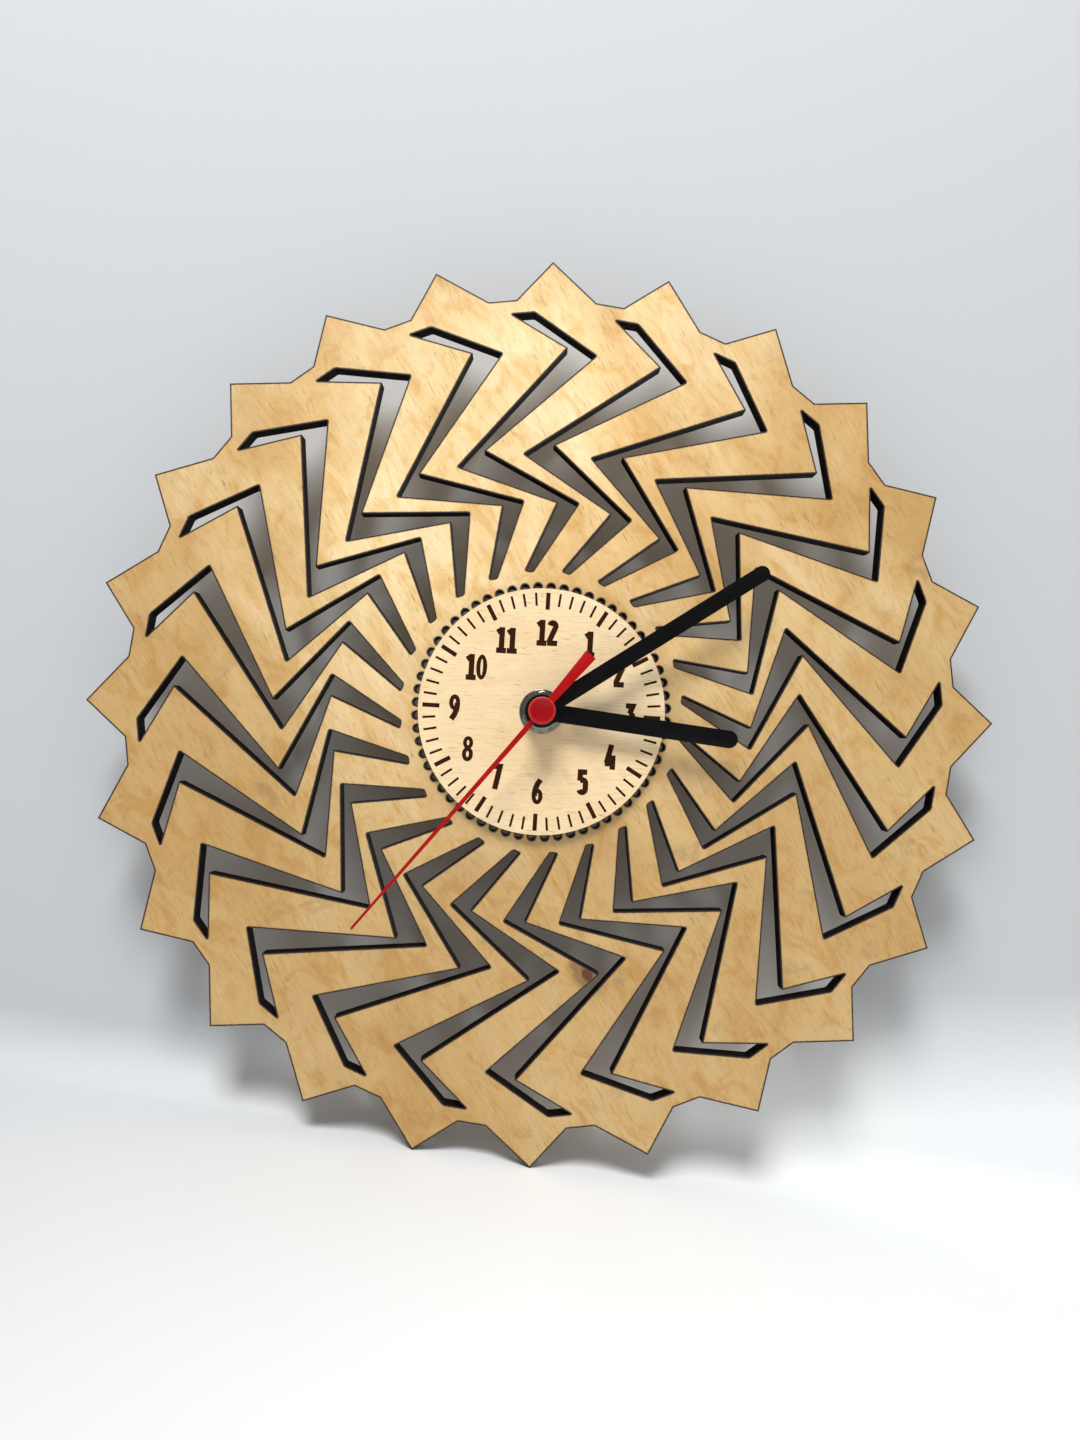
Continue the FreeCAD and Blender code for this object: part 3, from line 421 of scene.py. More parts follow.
plate_bottom, plate_top = heights(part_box("gear_plate"))
plate_thickness = plate_top - plate_bottom
tooth_count = 24
pitch = math.radians(360 / tooth_count)
first_tooth_turn = math.radians(-1.9)
tip_radius = 150 * MM
valley_radius = 137.4 * MM
valley_turn_shares = (0.413, 0.670)


def on_dial(radius, turn, height=0.0):
    """A place on the bench, where the dial lies face up: X right, Y to twelve."""
    return Vector((radius * math.sin(turn), radius * math.cos(turn), height))


def draw(corners, name, filled=True):
    """A flat face or an open line through the corners, drawn by extruding one point along them."""
    hold()
    bpy.ops.mesh.primitive_plane_add(size=MM, location=(0, 0, 0))
    piece = bpy.context.object
    bpy.ops.object.mode_set(mode="EDIT")
    bpy.ops.mesh.select_mode(type="VERT")
    bpy.ops.mesh.select_all(action="SELECT")
    bpy.ops.mesh.merge(type="CENTER")
    bpy.ops.transform.translate(value=corners[0])
    for here, there in zip(corners, corners[1:]):
        bpy.ops.mesh.extrude_region_move(TRANSFORM_OT_translate={"value": there - here})
    if filled:
        bpy.ops.mesh.select_all(action="SELECT")
        bpy.ops.mesh.edge_face_add()
    close_mesh()
    piece.name = name
    return piece


def thicken(piece, height):
    """Extrude the whole face straight up."""
    open_mesh(piece, "FACE", "SELECT")
    bpy.ops.mesh.extrude_region_move(TRANSFORM_OT_translate={"value": (0, 0, height)})
    bpy.ops.mesh.select_all(action="SELECT")
    bpy.ops.mesh.normals_make_consistent(inside=False)
    close_mesh()
    return piece


rim = []
for tooth in range(tooth_count):
    turn = first_tooth_turn + tooth * pitch
    rim.append(on_dial(tip_radius, turn, plate_bottom))
    for share in valley_turn_shares:
        rim.append(on_dial(valley_radius, turn + share * pitch, plate_bottom))
plate = thicken(draw(rim, "fretwork_plate"), plate_thickness)
print("the blank has", len(rim), "corners and is", round(plate_thickness / MM, 2), "mm thick")

# %% [markdown]
# Much of the clock is turned or drilled, so a few tools for round work serve from here to the
# end: a disc, a Boolean that uses up its cutter, a bore that runs out past both faces, so that
# no two faces coincide, and a bevel on edges that a test picks out.

# %% Tools for round work
overrun = 1 * MM
near = 0.01 * MM


def disc(radius, bottom, height, place=(0, 0), sides=64):
    hold()
    bpy.ops.mesh.primitive_cylinder_add(vertices=sides, radius=radius, depth=height,
                                        location=(*place, bottom + height / 2))
    return settle(bpy.context.object, "disc")


def combine(piece, other, operation, **settings):
    apply_modifier(piece, "BOOLEAN", operation=operation, solver="EXACT", object=other,
                   **settings)
    bpy.data.objects.remove(other)


def bore(piece, radius, bottom, height, sides=64, **settings):
    cutter = disc(radius, bottom - overrun, height + 2 * overrun, sides=sides)
    combine(piece, cutter, "DIFFERENCE", **settings)


def round_edges(piece, wanted, width, segments=3):
    """Bevel only the edges that the test wants."""
    open_mesh(piece, "EDGE")
    count = pick(piece, "EDGE", wanted)
    bpy.ops.mesh.bevel(offset=width, segments=segments, affect="EDGES", clamp_overlap=True)
    close_mesh()
    return count


def sharp_at(axis, *levels):
    """A test for sharp edges that lie at one of the levels along an axis."""
    return lambda edge: edge.calc_face_angle(0) > 0.6 and any(
        all(abs(getattr(vert.co, axis) - level) < near for vert in edge.verts)
        for level in levels)


print("a bore runs out", round(overrun / MM, 1), "mm past each face")

# %% [markdown]
# One zig-zag slot is drawn as a cutter a little taller than the sheet. The beam is round, so it
# leaves a small radius in the slot's own corners, while the wood's points stay sharp: only the
# cutter's convex upright edges are bevelled. The other slots are turned copies.
# The holes of the ring are cut by slim cylinders, and one wider hole takes the shaft. All the
# cutters are joined and taken away with a single Boolean.

# %% Cut the slots and holes
dial_radius = 40.5 * MM
ring_radius = dial_radius + 0.9 * MM
ring_hole_radius = 1.15 * MM
ring_hole_count = 60
ring_hole_turn = math.radians(1.1)
shaft_hole_radius = 4.15 * MM
slot_inner = ring_radius + ring_hole_radius + 4.15 * MM
slot_outer = valley_radius - 4.4 * MM
corner_radius = 0.45 * MM
cut_bottom = plate_bottom - overrun
cut_height = plate_thickness + 2 * overrun
slot_shares = (
    (0.9965, -0.381), (1.0000, -0.166), (0.8482, 0.483), (0.4878, -0.923), (0.2729, 0.573),
    (0.0000, -0.339), (0.0058, -0.517), (0.2677, 0.204), (0.4542, -1.351), (0.8667, 0.177),
)


def turned_copies(piece, count, step):
    """The piece and its copies, each turned further round the hands' axis."""
    row = [piece]
    for index in range(1, count):
        copy = piece.copy()
        copy.data = piece.data.copy()
        bpy.context.scene.collection.objects.link(copy)
        copy.rotation_euler = (0, 0, -index * step)
        row.append(copy)
    return row


def convex_upright(edge):
    first, second = edge.verts
    return edge.is_convex and (first.co - second.co).xy.length < 0.001 * MM


corners = [on_dial(slot_inner + radius_share * (slot_outer - slot_inner),
                   first_tooth_turn + turn_share * pitch, cut_bottom)
           for radius_share, turn_share in slot_shares]
slot = thicken(draw(corners, "slot_cutter"), cut_height)
round_edges(slot, convex_upright, corner_radius)
cutters = turned_copies(slot, tooth_count, pitch)
hole = disc(ring_hole_radius, cut_bottom, cut_height, on_dial(ring_radius, ring_hole_turn).xy,
            sides=20)
cutters += turned_copies(hole, ring_hole_count, math.radians(360 / ring_hole_count))
cutters.append(disc(shaft_hole_radius, cut_bottom, cut_height, sides=48))
combine(plate, joined(cutters), "DIFFERENCE")
plate = stand_up(plate, "fretwork_plate")
print("after the cut:", len(plate.data.polygons), "faces")

# %% [markdown]
# A laser scorches the wood beside its path: a dark line on the edge that fades within half a
# millimetre. Both faces are inset twice along every cut, which lays two narrow strips there,
# and an attribute is written on the corners: 1 on the cut, less on the first line, 0 further in.
# Blender blends it across each strip.

# %% Scorch both faces along the cuts
rim_radius = 134.5 * MM
char_width = 0.38 * MM
toast_width = 0.55 * MM
first_line_scorch = 0.62


def from_axis(place):
    return math.hypot(place.x, place.z)


def face_area(piece):
    return sum(face.area for face in piece.data.polygons if face.normal.y < -0.9) / MM ** 2


before = face_area(plate)
open_mesh(plate, "FACE")
pick(plate, "FACE", lambda face: abs(face.normal.y) > 0.9)
bpy.ops.mesh.inset(thickness=char_width, use_boundary=True, use_even_offset=True)
bpy.ops.mesh.inset(thickness=toast_width, use_boundary=True, use_even_offset=True)
close_mesh()
print("front face:", round(before), "square mm, and after the insets", round(face_area(plate)))


def scorch_by_neighbours(piece):
    """Full scorch on the walls' corners, part of it on the first inset, none further in."""
    mesh = bmesh.new()
    mesh.from_mesh(piece.data)
    strength = mesh.verts.layers.float.new("scorch")
    edge_points = {vert for face in mesh.faces if abs(face.normal.y) < 0.5 for vert in face.verts}
    for vert in mesh.verts:
        if vert in edge_points:
            vert[strength] = 1.0
        elif any(other in edge_points for link in vert.link_edges for other in link.verts):
            vert[strength] = first_line_scorch
    mesh.to_mesh(piece.data)
    mesh.free()


scorch_by_neighbours(plate)
put_on(plate, plate_face, slot_wall, rim_wall)
for face in plate.data.polygons:
    if abs(face.normal.y) < 0.5:
        face.material_index = 2 if from_axis(face.center) > rim_radius else 1
in_place_of(plate, "gear_plate", "clock_body")

# %% [markdown]
# The dial is a paler disc glued over the inner half of the ring of holes. Its minute marks are
# burnt in by the same laser, a fraction of a millimetre deep, so they are cut with a Boolean
# and not painted: their edges catch a little light. The floor of the cut keeps the cutter's own
# material, and that is how the marks come out dark without any mask.

# %% Turn the dial and lay out the minute marks
dial_bottom, dial_top = heights(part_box("dial_disc"))
dial_thickness = dial_top - dial_bottom
engraved_depth = 0.18 * MM
mark_outer = 39.1 * MM
minute_mark = {"width": 0.75 * MM, "length": 4.3 * MM, "count": 60}
hour_mark = {"width": 1.4 * MM, "length": 5.6 * MM, "count": 12}

mix = Recipe("burnt_mark")
grit = mix.noise(mix.space(), 0.35, rough=0.7)
burnt_mark = mix.finish(mix.ramp(grit, (0.3, tone(34, 15, 5)), (0.7, tone(66, 33, 12))), 0.9,
                        mix.bump(grit, 0.06 * MM), shine=0.1)

dial = disc(dial_radius, dial_bottom, dial_thickness, sides=160)
put_on(dial, dial_face, rim_wall, burnt_mark)


def mark_cutters(width, length, count):
    hold()
    bpy.ops.mesh.primitive_cube_add(size=1, location=(0, mark_outer - length / 2, dial_top))
    block = bpy.context.object
    block.scale = (width, length, 2 * engraved_depth)
    settle(block, "mark_cutter")
    return turned_copies(block, count, math.radians(360 / count))


marks = mark_cutters(**minute_mark) + mark_cutters(**hour_mark)
print(len(marks), "marks round a dial of", round(dial_radius / MM, 1), "mm radius")

# %% [markdown]
# The numerals are bold, narrow and upright, with a slab under the one. A built-in font has no
# such shapes, so each figure is drawn as a pen would draw it: a line through a few places is
# raised into a thin wall, and Solidify gives the wall the width of the pen. A bowl is a circle
# squeezed into an oval, then extruded inwards to a slimmer one, which leaves a ring. Strokes
# cross one another, so the Boolean that burns them in is told to look for such overlaps.

# %% Draw the figures as pen strokes
pen_width = 1.8 * MM
figure_spacing = 1.75


def ring(x, y, outer, inner):
    """A bowl: the half width and half height of its outer and inner oval."""
    return ("ring", (x, y, outer, inner))


def line(*places):
    return ("line", places)


def arc(x, y, half_width, half_height, start, end, steps=8):
    """Places on part of an oval, from one angle to another, anticlockwise from the right."""
    angles = [math.radians(start + (end - start) * step / steps) for step in range(steps + 1)]
    return [(x + half_width * math.cos(angle), y + half_height * math.sin(angle))
            for angle in angles]


figures = {
    "0": [ring(0, 0, (1.8, 4.15), (0.4, 2.7))],
    "1": [line((0.15, 4.1), (0.15, -3.6)), line((-1.45, 2.3), (-0.3, 3.1), (0.1, 3.6)),
          line((-1.55, -3.55), (1.75, -3.55))],
    "2": [line(*arc(0, 2.2, 1.0, 1.1, 170, -25), (-0.75, -2.5), (-0.85, -3.3)),
          line((-1.6, -3.4), (1.75, -3.4))],
    "3": [line((-1.45, 3.4), (0.85, 3.4), (-0.1, 0.9)),
          line(*arc(0, -0.3, 1.0, 1.1, 110, 0), *arc(0, -2.2, 1.0, 1.1, 0, -165))],
    "4": [line((0.25, 4.1), (-1.15, -2.0)), line((-1.7, -2.15), (1.75, -2.15)),
          line((0.85, 0.6), (0.85, -4.1))],
    "5": [line((1.35, 3.4), (-0.85, 3.4), (-0.9, 0.5)),
          line((-0.9, 0.5), *arc(0, -0.3, 1.0, 1.1, 100, 0), *arc(0, -2.2, 1.0, 1.1, 0, -165))],
    "6": [ring(0, -1.55, (1.8, 2.6), (0.42, 1.15)),
          line((0.85, 4.0), (-0.1, 2.6), (-0.8, 0.6), (-0.98, -1.4))],
    "7": [line((-1.65, 3.4), (0.95, 3.4), (-0.45, -4.1))],
    "8": [ring(0, 2.0, (1.65, 2.15), (0.42, 0.85)), ring(0, -1.75, (1.8, 2.4), (0.45, 1.0))],
    "9": [ring(0, 1.55, (1.8, 2.6), (0.42, 1.15)),
          line((-0.85, -4.0), (0.1, -2.6), (0.8, -0.6), (0.98, 1.4))],
}
numeral_places = {
    12: (0.3, 26), 1: (14.5, 23.1), 2: (24.7, 13.7), 3: (29, 0.1), 4: (23.4, -13.6),
    5: (14.8, -22.4), 6: (0.2, -26.3), 7: (-13.4, -22.2), 8: (-23.4, -13.6), 9: (-28.6, -0.2),
    10: (-22.2, 13.4), 11: (-12.8, 22.8),
}


def stroke(kind, shape, base):
    """One pen stroke as a solid that reaches a little into the dial."""
    if kind == "ring":
        x, y, outer, inner = shape
        hold()
        bpy.ops.mesh.primitive_circle_add(vertices=28, radius=MM, fill_type="NOTHING",
                                          location=base + Vector((x, y, 0)) * MM)
        flat = bpy.context.object
        flat.scale = (*outer, 1)
        open_mesh(flat, "EDGE", "SELECT")
        bpy.ops.mesh.extrude_edges_move()
        bpy.ops.transform.resize(value=(inner[0] / outer[0], inner[1] / outer[1], 1),
                                 center_override=flat.location)
        close_mesh()
        return thicken(settle(flat, "stroke"), 2 * engraved_depth)
    ribbon = draw([base + Vector((x, y, 0)) * MM for x, y in shape], "stroke", filled=False)
    open_mesh(ribbon, "EDGE", "SELECT")
    bpy.ops.mesh.extrude_edges_move(TRANSFORM_OT_translate={"value": (0, 0, 2 * engraved_depth)})
    close_mesh()
    apply_modifier(ribbon, "SOLIDIFY", thickness=pen_width, offset=0, use_even_offset=True)
    return ribbon


strokes = []
for number, (x, y) in numeral_places.items():
    digits = str(number)
    for place, figure in enumerate(digits):
        shift = (2 * place - len(digits) + 1) * figure_spacing
        base = Vector((x + shift, y, 0)) * MM + Vector((0, 0, dial_top - engraved_depth))
        strokes += [stroke(kind, shape, base) for kind, shape in figures[figure]]
print(len(strokes), "strokes for twelve numerals")

# %% [markdown]
# Marks and strokes are joined into one cutter that carries the burnt material, because the
# Boolean lays that on the floors it cuts. The dial's own edge was cut by the laser too, so its
# wall takes the rim's charred finish.

# %% Burn the marks and figures into the dial
wall_band = 0.1 * MM
cutter = joined(marks + strokes)
put_on(cutter, burnt_mark)
combine(dial, cutter, "DIFFERENCE", use_self=True)
bore(dial, shaft_hole_radius, dial_bottom, dial_thickness, 48, use_self=True)
for face in dial.data.polygons:
    if abs(face.normal.z) < 0.5 and abs(face.center.xy.length - dial_radius) < wall_band:
        face.material_index = 1
dial = stand_up(dial, "dial_board")
print("the engraved dial has", len(dial.data.polygons), "faces")
in_place_of(dial, "dial_disc", "clock_body")

# %% [markdown]
# The hands are stamped metal under gloss paint, and the red button is moulded plastic. One
# recipe serves them all: two near tones in soft clouds, a gloss that varies with them, and a
# fine texture as bump. The edges get a paler paint of their own, a painted highlight, because a
# thin line of light is all that tells black hands apart where they cross.

# %% Mix the paints
def paint(name, colour, cloud_colour, rough, coat, texture=0.012, shine=0.4, metal=0.0):
    mix = Recipe(name)
    cloud = mix.noise(mix.space(), 9)
    grain = mix.noise(mix.space(), 0.35, rough=0.7)
    shade = mix.blend(mix.ramp(cloud, (0.35, 0), (0.75, 1)), tone(*colour), tone(*cloud_colour))
    gloss = mix.ramp(cloud, (0.3, rough), (0.7, rough * 1.35))
    return mix.finish(shade, gloss, mix.bump(grain, texture * MM), metal=metal, coat=coat,
                      coat_rough=0.08, shine=shine)


black_paint = paint("gloss_black", (7, 7, 8), (12, 12, 13), 0.26, 0.12, shine=0.08)
# painted highlight: a paler black for the edge slopes, standing for the thin line of light there
black_edge_highlight = paint("black_edge_painted_highlight", (46, 46, 48), (64, 64, 66), 0.3, 0.2, shine=0.3)
red_paint = paint("gloss_red", (160, 8, 12), (176, 14, 14), 0.32, 0.06, shine=0.12)
# painted highlight: a paler red for the edge slopes of the second hand and the button
red_edge_highlight = paint("red_edge_painted_highlight", (196, 38, 38), (206, 54, 52), 0.3, 0.1, shine=0.2)
cap_plastic = paint("moulded_red", (146, 3, 12), (156, 5, 14), 0.24, 0.12, shine=0.15)
print("paints:", black_paint.name, red_paint.name, cap_plastic.name)

# %% [markdown]
# A baton is a circle whose lower half is pulled down to the hub: that leaves a long shape with
# a truly round end. It is joined with a round hub, its upper edge is rounded, and a collar
# below it is bored for the tube that turns it.

# %% Shape the hour and minute hands
hand_thickness = 0.8 * MM
hand_edge = 0.22 * MM
collar_wall = 1.0 * MM
overlap = 0.1 * MM


def dress(piece, face_finish, edge_highlight):
    """One finish for the piece, and a paler one on the slopes round its upper side: a painted
    highlight.
    """
    put_on(piece, face_finish, edge_highlight)
    for face in piece.data.polygons:
        face.material_index = 1 if 0.2 < face.normal.z < 0.97 else 0


def baton(node, length, width, hub_radius, tube_radius, turn):
    """A hand drawn pointing to twelve, with its collar below, then turned to its time."""
    foot, top = heights(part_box(node))
    bottom = top - hand_thickness
    tip_centre = length - width / 2
    hold()
    bpy.ops.mesh.primitive_circle_add(vertices=40, radius=width / 2, fill_type="NGON",
                                      location=(0, tip_centre, bottom))
    hand = settle(bpy.context.object, node + "_blade")
    open_mesh(hand, "VERT")
    pick(hand, "VERT", lambda vert: vert.co.y < tip_centre - near)
    bpy.ops.transform.translate(value=(0, -tip_centre, 0))
    close_mesh()
    thicken(hand, hand_thickness)
    combine(hand, disc(hub_radius, bottom, hand_thickness), "UNION")
    rounded = round_edges(hand, sharp_at("z", top), hand_edge)
    collar = disc(tube_radius + collar_wall, foot, bottom - foot + overlap, sides=48)
    combine(hand, collar, "UNION")
    bore(hand, tube_radius, foot, top - foot, 48)
    # the edge slopes take the paler black, a painted highlight
    dress(hand, black_paint, black_edge_highlight)
    stand_up(hand, node + "_blade", turn)
    smooth(hand, 40)
    print("rounded", rounded, "edges on", node)
    return hand


hour_blade = baton("hour_hand", length=64 * MM, width=5.7 * MM, hub_radius=5.4 * MM,
                   tube_radius=2.5 * MM, turn=95.2)
in_place_of(hour_blade, "hour_hand", "hour_group")
minute_blade = baton("minute_hand", length=86 * MM, width=5.1 * MM, hub_radius=4.6 * MM,
                     tube_radius=1.6 * MM, turn=54.7)
in_place_of(minute_blade, "minute_hand", "minute_group")

# %% [markdown]
# The second hand is cut from thin strip: a long blade that narrows to its tip, an eye, and a
# tail that widens to a square end and balances it. Half of its outline is given, as a half
# width and a place along the hand, and the other half mirrors it.

# %% Shape the second hand
second_turn = 217.8
second_edge = 0.12 * MM
second_bottom, second_top = heights(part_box("second_hand"))
second_thickness = second_top - second_bottom
blade_length = 91.7 * MM
waist = 0.2 * blade_length
tail_length = 23.7 * MM
eye_radius = 4.07 * MM
pin_radius = 1.3 * MM
half_outline = [(0.4 * MM, blade_length), (0.8 * MM, waist), (0.95 * MM, 0), (1.0 * MM, 0),
                (2.05 * MM, -tail_length)]
outline = [Vector((x, y, second_bottom)) for x, y in half_outline]
outline += [Vector((-x, y, second_bottom)) for x, y in reversed(half_outline)]
second = thicken(draw(outline, "second_blade"), second_thickness)
combine(second, disc(eye_radius, second_bottom, second_thickness), "UNION")
round_edges(second, sharp_at("z", second_top), second_edge, 2)
bore(second, pin_radius, second_bottom, second_thickness, 32)
# the edge slopes take the paler red, a painted highlight
dress(second, red_paint, red_edge_highlight)
stand_up(second, "second_blade", second_turn)
smooth(second, 40)
in_place_of(second, "second_hand", "second_group")

# %% [markdown]
# A red button covers the eye. Its rim is turned down in a narrow slope, painted a paler red as a
# highlight ring round the flat top, and the top itself lies a hair lower. A pin below it goes
# through the second hand, with a blind hole for the shaft.

# %% Turn the red button
cap_bottom, cap_top = heights(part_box("second_hand_cap"))
cap_radius = 4.37 * MM
cap_slope = 0.42 * MM
cap_margin = 0.25 * MM
cap_sink = 0.06 * MM
blind_radius = 0.6 * MM
blind_end = 1.4 * MM
step_width = 0.12 * MM


def sink_picked(margin, move):
    """Leave a margin round the picked face and move the rest, with a steep step between."""
    bpy.ops.mesh.inset(thickness=margin)
    bpy.ops.mesh.inset(thickness=step_width)
    bpy.ops.transform.translate(value=move)


cap = disc(cap_radius, second_top, cap_top - second_top, sides=96)
round_edges(cap, sharp_at("z", cap_top), cap_slope)
open_mesh(cap)
pick(cap, "FACE", lambda face: face.normal.z > 0.99
     and face.calc_center_median().z > cap_top - near)
sink_picked(cap_margin, (0, 0, -cap_sink))
close_mesh()
combine(cap, disc(pin_radius, cap_bottom, second_top - cap_bottom + overlap, sides=32), "UNION")
blind_height = second_top - cap_bottom + overrun + blind_end
combine(cap, disc(blind_radius, cap_bottom - overrun, blind_height, sides=24), "DIFFERENCE")
# the button's sloped rim takes the paler red, a painted highlight ring
dress(cap, cap_plastic, red_edge_highlight)
stand_up(cap, "second_button")
smooth(cap, 35)
in_place_of(cap, "second_hand_cap", "second_group")

# %% [markdown]
# A bright hexagon nut and a washer clamp dial and plate to the movement's brass neck. Turned
# metal has fine rings round its axis, so its gloss follows the distance from the hands' axis.
# The nut is a six-sided cylinder cut by a round one with a bevelled top, which gives the curved
# corners of a turned nut.

# %% Turn the washer and the nut
def bright_metal(name, colour, worn, rough):
    """Turned metal: fine rings round the hands' axis and a few dull spots."""
    mix = Recipe(name)
    ring_size = 0.25
    from_axis_line = mix.length(mix.space(0, (1, 0, 1)))
    rings = mix.add("ShaderNodeTexNoise", {"W": mix.sum("DIVIDE", from_axis_line, ring_size)},
                    noise_dimensions="1D").outputs["Fac"]
    spots = mix.noise(mix.space(), 1.6)
    shade = mix.blend(mix.ramp(spots, (0.45, 0), (0.75, 1)), tone(*colour), tone(*worn))
    gloss = mix.ramp(rings, (0.3, rough), (0.7, rough * 1.9))
    return mix.finish(shade, gloss, mix.bump(rings, 0.008 * MM), metal=1.0)


nickel = bright_metal("polished_nickel", (128, 124, 114), (92, 88, 78), 0.1)
brass = bright_metal("turned_brass", (214, 178, 108), (168, 130, 70), 0.2)

washer_radius = 7.3 * MM
washer_edge = 0.25 * MM
washer_bottom, washer_top = heights(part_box("nut_washer"))
washer = disc(washer_radius, washer_bottom, washer_top - washer_bottom, sides=96)
bore(washer, shaft_hole_radius, washer_bottom, washer_top - washer_bottom)
round_edges(washer, sharp_at("z", washer_top), washer_edge)
put_on(washer, nickel)
stand_up(washer, "polished_washer")
smooth(washer, 40)
in_place_of(washer, "nut_washer", "clock_body")

half_flats = 6.0 * MM
nut_bore_radius = 4.0 * MM
nut_crown = 0.75 * MM
nut_edge = 0.08 * MM
nut_bottom, nut_top = heights(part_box("fixing_nut"))
nut_height = nut_top - nut_bottom
corner = half_flats / math.cos(math.pi / 6)
nut = disc(corner, nut_bottom, nut_height, sides=6)
crown = disc(corner, nut_bottom - overrun, nut_height + overrun, sides=96)
round_edges(crown, sharp_at("z", nut_top), nut_crown, 2)
combine(nut, crown, "INTERSECT")
bore(nut, nut_bore_radius, nut_bottom, nut_height)
put_on(nut, nickel)
stand_up(nut, "hexagon_nut")
soften(nut, nut_edge, 25)
in_place_of(nut, "fixing_nut", "clock_body")

# %% [markdown]
# The thread on the brass neck is a small blunt triangle swept along a helix by the Screw
# modifier, which takes a rise and a number of turns as a lathe does. Its foot lies a little
# inside the plain core.

# %% Cut the thread on the neck
neck_bottom, neck_top = heights(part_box("threaded_bushing"))
neck_height = neck_top - neck_bottom
neck_bore_radius = 2.58 * MM
flange_radius = 5.0 * MM
flange_height = 0.7 * MM
thread_pitch = 0.75 * MM
thread_turns = 5
core_radius = 3.6 * MM
root_radius = core_radius - overlap
crest_radius = 3.98 * MM
half_root = 0.36 * MM
half_crest = 0.05 * MM
thread_start = neck_top - thread_turns * thread_pitch - 0.5 * MM


def wind(piece, rise, turns, steps):
    """Sweep a closed line of points along a helix and close both ends."""
    apply_modifier(piece, "SCREW", axis="Z", angle=2 * math.pi, screw_offset=rise,
                   iterations=turns, steps=steps, render_steps=steps, use_merge_vertices=True)
    open_mesh(piece, "EDGE", "SELECT")
    bpy.ops.mesh.fill_holes(sides=8)
    bpy.ops.mesh.normals_make_consistent(inside=False)
    close_mesh()


neck = disc(core_radius, neck_bottom, neck_height)
combine(neck, disc(flange_radius, neck_bottom, flange_height), "UNION")
bore(neck, neck_bore_radius, neck_bottom, neck_height)
profile = [Vector((radius, 0, height)) + Vector((0, 0, thread_start)) for radius, height in (
    (root_radius, -half_root), (crest_radius, -half_crest), (crest_radius, half_crest),
    (root_radius, half_root))]
thread = draw(profile, "thread")
open_mesh(thread, "FACE", "SELECT")
bpy.ops.mesh.delete(type="ONLY_FACE")
close_mesh()
wind(thread, thread_pitch, thread_turns, 48)
neck = joined([neck, thread])
put_on(neck, brass)
stand_up(neck, "threaded_neck")
smooth(neck, 30)
in_place_of(neck, "threaded_bushing", "clock_body")

# %% [markdown]
# Behind the plate sits the black moulded case of the movement. Its rear half already has its
# true shape, so a welded copy is used, and only the edges on its back face are rounded: the
# outline, the battery bay and the knob's recess. A turning arrow beside the knob and a plus and
# a minus over the battery's ends are sunk into the moulding. Their floors are polished in the
# mould, and the cutter's own material brings a paler tone along, a painted sheen for that polish.
# The rest has the fine matt grain of a spark-eroded mould, which is bump.

# %% Mould the rear half of the case
case_plastic = paint("black_case", (30, 30, 32), (38, 38, 40), 0.5, 0.05, texture=0.035)
# painted sheen: the sunk signs' floors are painted paler to stand for the gloss of their polish
sign_sheen_plastic = paint("sign_painted_sheen", (84, 84, 86), (96, 96, 98), 0.3, 0.2, texture=0)
case_edge = 0.4 * MM
sunk_depth = 0.5 * MM
knob_place = (-13.11, 13.11)
sign_x = 21.5
sign_y = -8.2
sign_reach = 2.1
sign_pen = 0.55


def sunk_cutter(places):
    """A flat sign in the back face; its places are seen through the clock, from the front."""
    corners = [Vector((x * MM, y * MM, -sunk_depth)) for x, y in places]
    return thicken(draw(corners, "sign"), 2 * sunk_depth)


def turning_arrow(radius, half_width, start, end, head):
    def bend(reach, first, last, steps=1):
        return arc(*knob_place, reach, reach, first, last, steps)

    inner = bend(radius - half_width, start, end, 16)
    outer = bend(radius + half_width, end, start, 16)
    wide = [bend(radius + side * head, end, end)[0] for side in (-1, 1)]
    tip = bend(radius, end + math.degrees(1.7 * head / radius), end)[0]
    return inner + [wide[0], tip, wide[1]] + outer


def cross(x, y, reach, half_width):
    quarter = [(half_width, reach), (half_width, half_width), (reach, half_width)]
    places = []
    for turn in range(4):
        places += [(x + a, y + b) for a, b in quarter]
        quarter = [(b, -a) for a, b in quarter]
    return places


def bar(x, y, half_length, half_width):
    return [(x - half_length, y - half_width), (x + half_length, y - half_width),
            (x + half_length, y + half_width), (x - half_length, y + half_width)]


housing = welded_copy("rear_housing", "rear_shell")
put_on(housing, case_plastic, sign_sheen_plastic)
rounded = round_edges(housing, sharp_at("y", 0), case_edge)
signs = joined([sunk_cutter(turning_arrow(10, sign_pen, 35, 118, 1.5)),
                sunk_cutter(cross(sign_x, sign_y, sign_reach, sign_pen)),
                sunk_cutter(bar(-sign_x, sign_y, sign_reach, sign_pen))])
put_on(signs, sign_sheen_plastic)
stand_up(signs, "signs")
before = len(housing.data.polygons)
combine(housing, signs, "DIFFERENCE")
print("rounded", rounded, "edges; the signs add", len(housing.data.polygons) - before, "faces")
smooth(housing, 30)
in_place_of(housing, "rear_housing", "clock_body")

# %% [markdown]
# The clip that hangs the clock and the knob that sets it are what a hand meets at the back. The
# clip has rounded edges all over. The knob's back face is dished by a round cutter, because an
# inset would break on its ridges.

# %% Finish the clip and the knob
clip_plastic = paint("clip_black", (20, 20, 21), (28, 28, 30), 0.42, 0.1, texture=0.02)
clip_edge = 0.18 * MM
clip = welded_copy("hanger_clip", "wall_clip")
soften(clip, clip_edge, 40)
put_on(clip, clip_plastic)
in_place_of(clip, "hanger_clip", "clock_body")

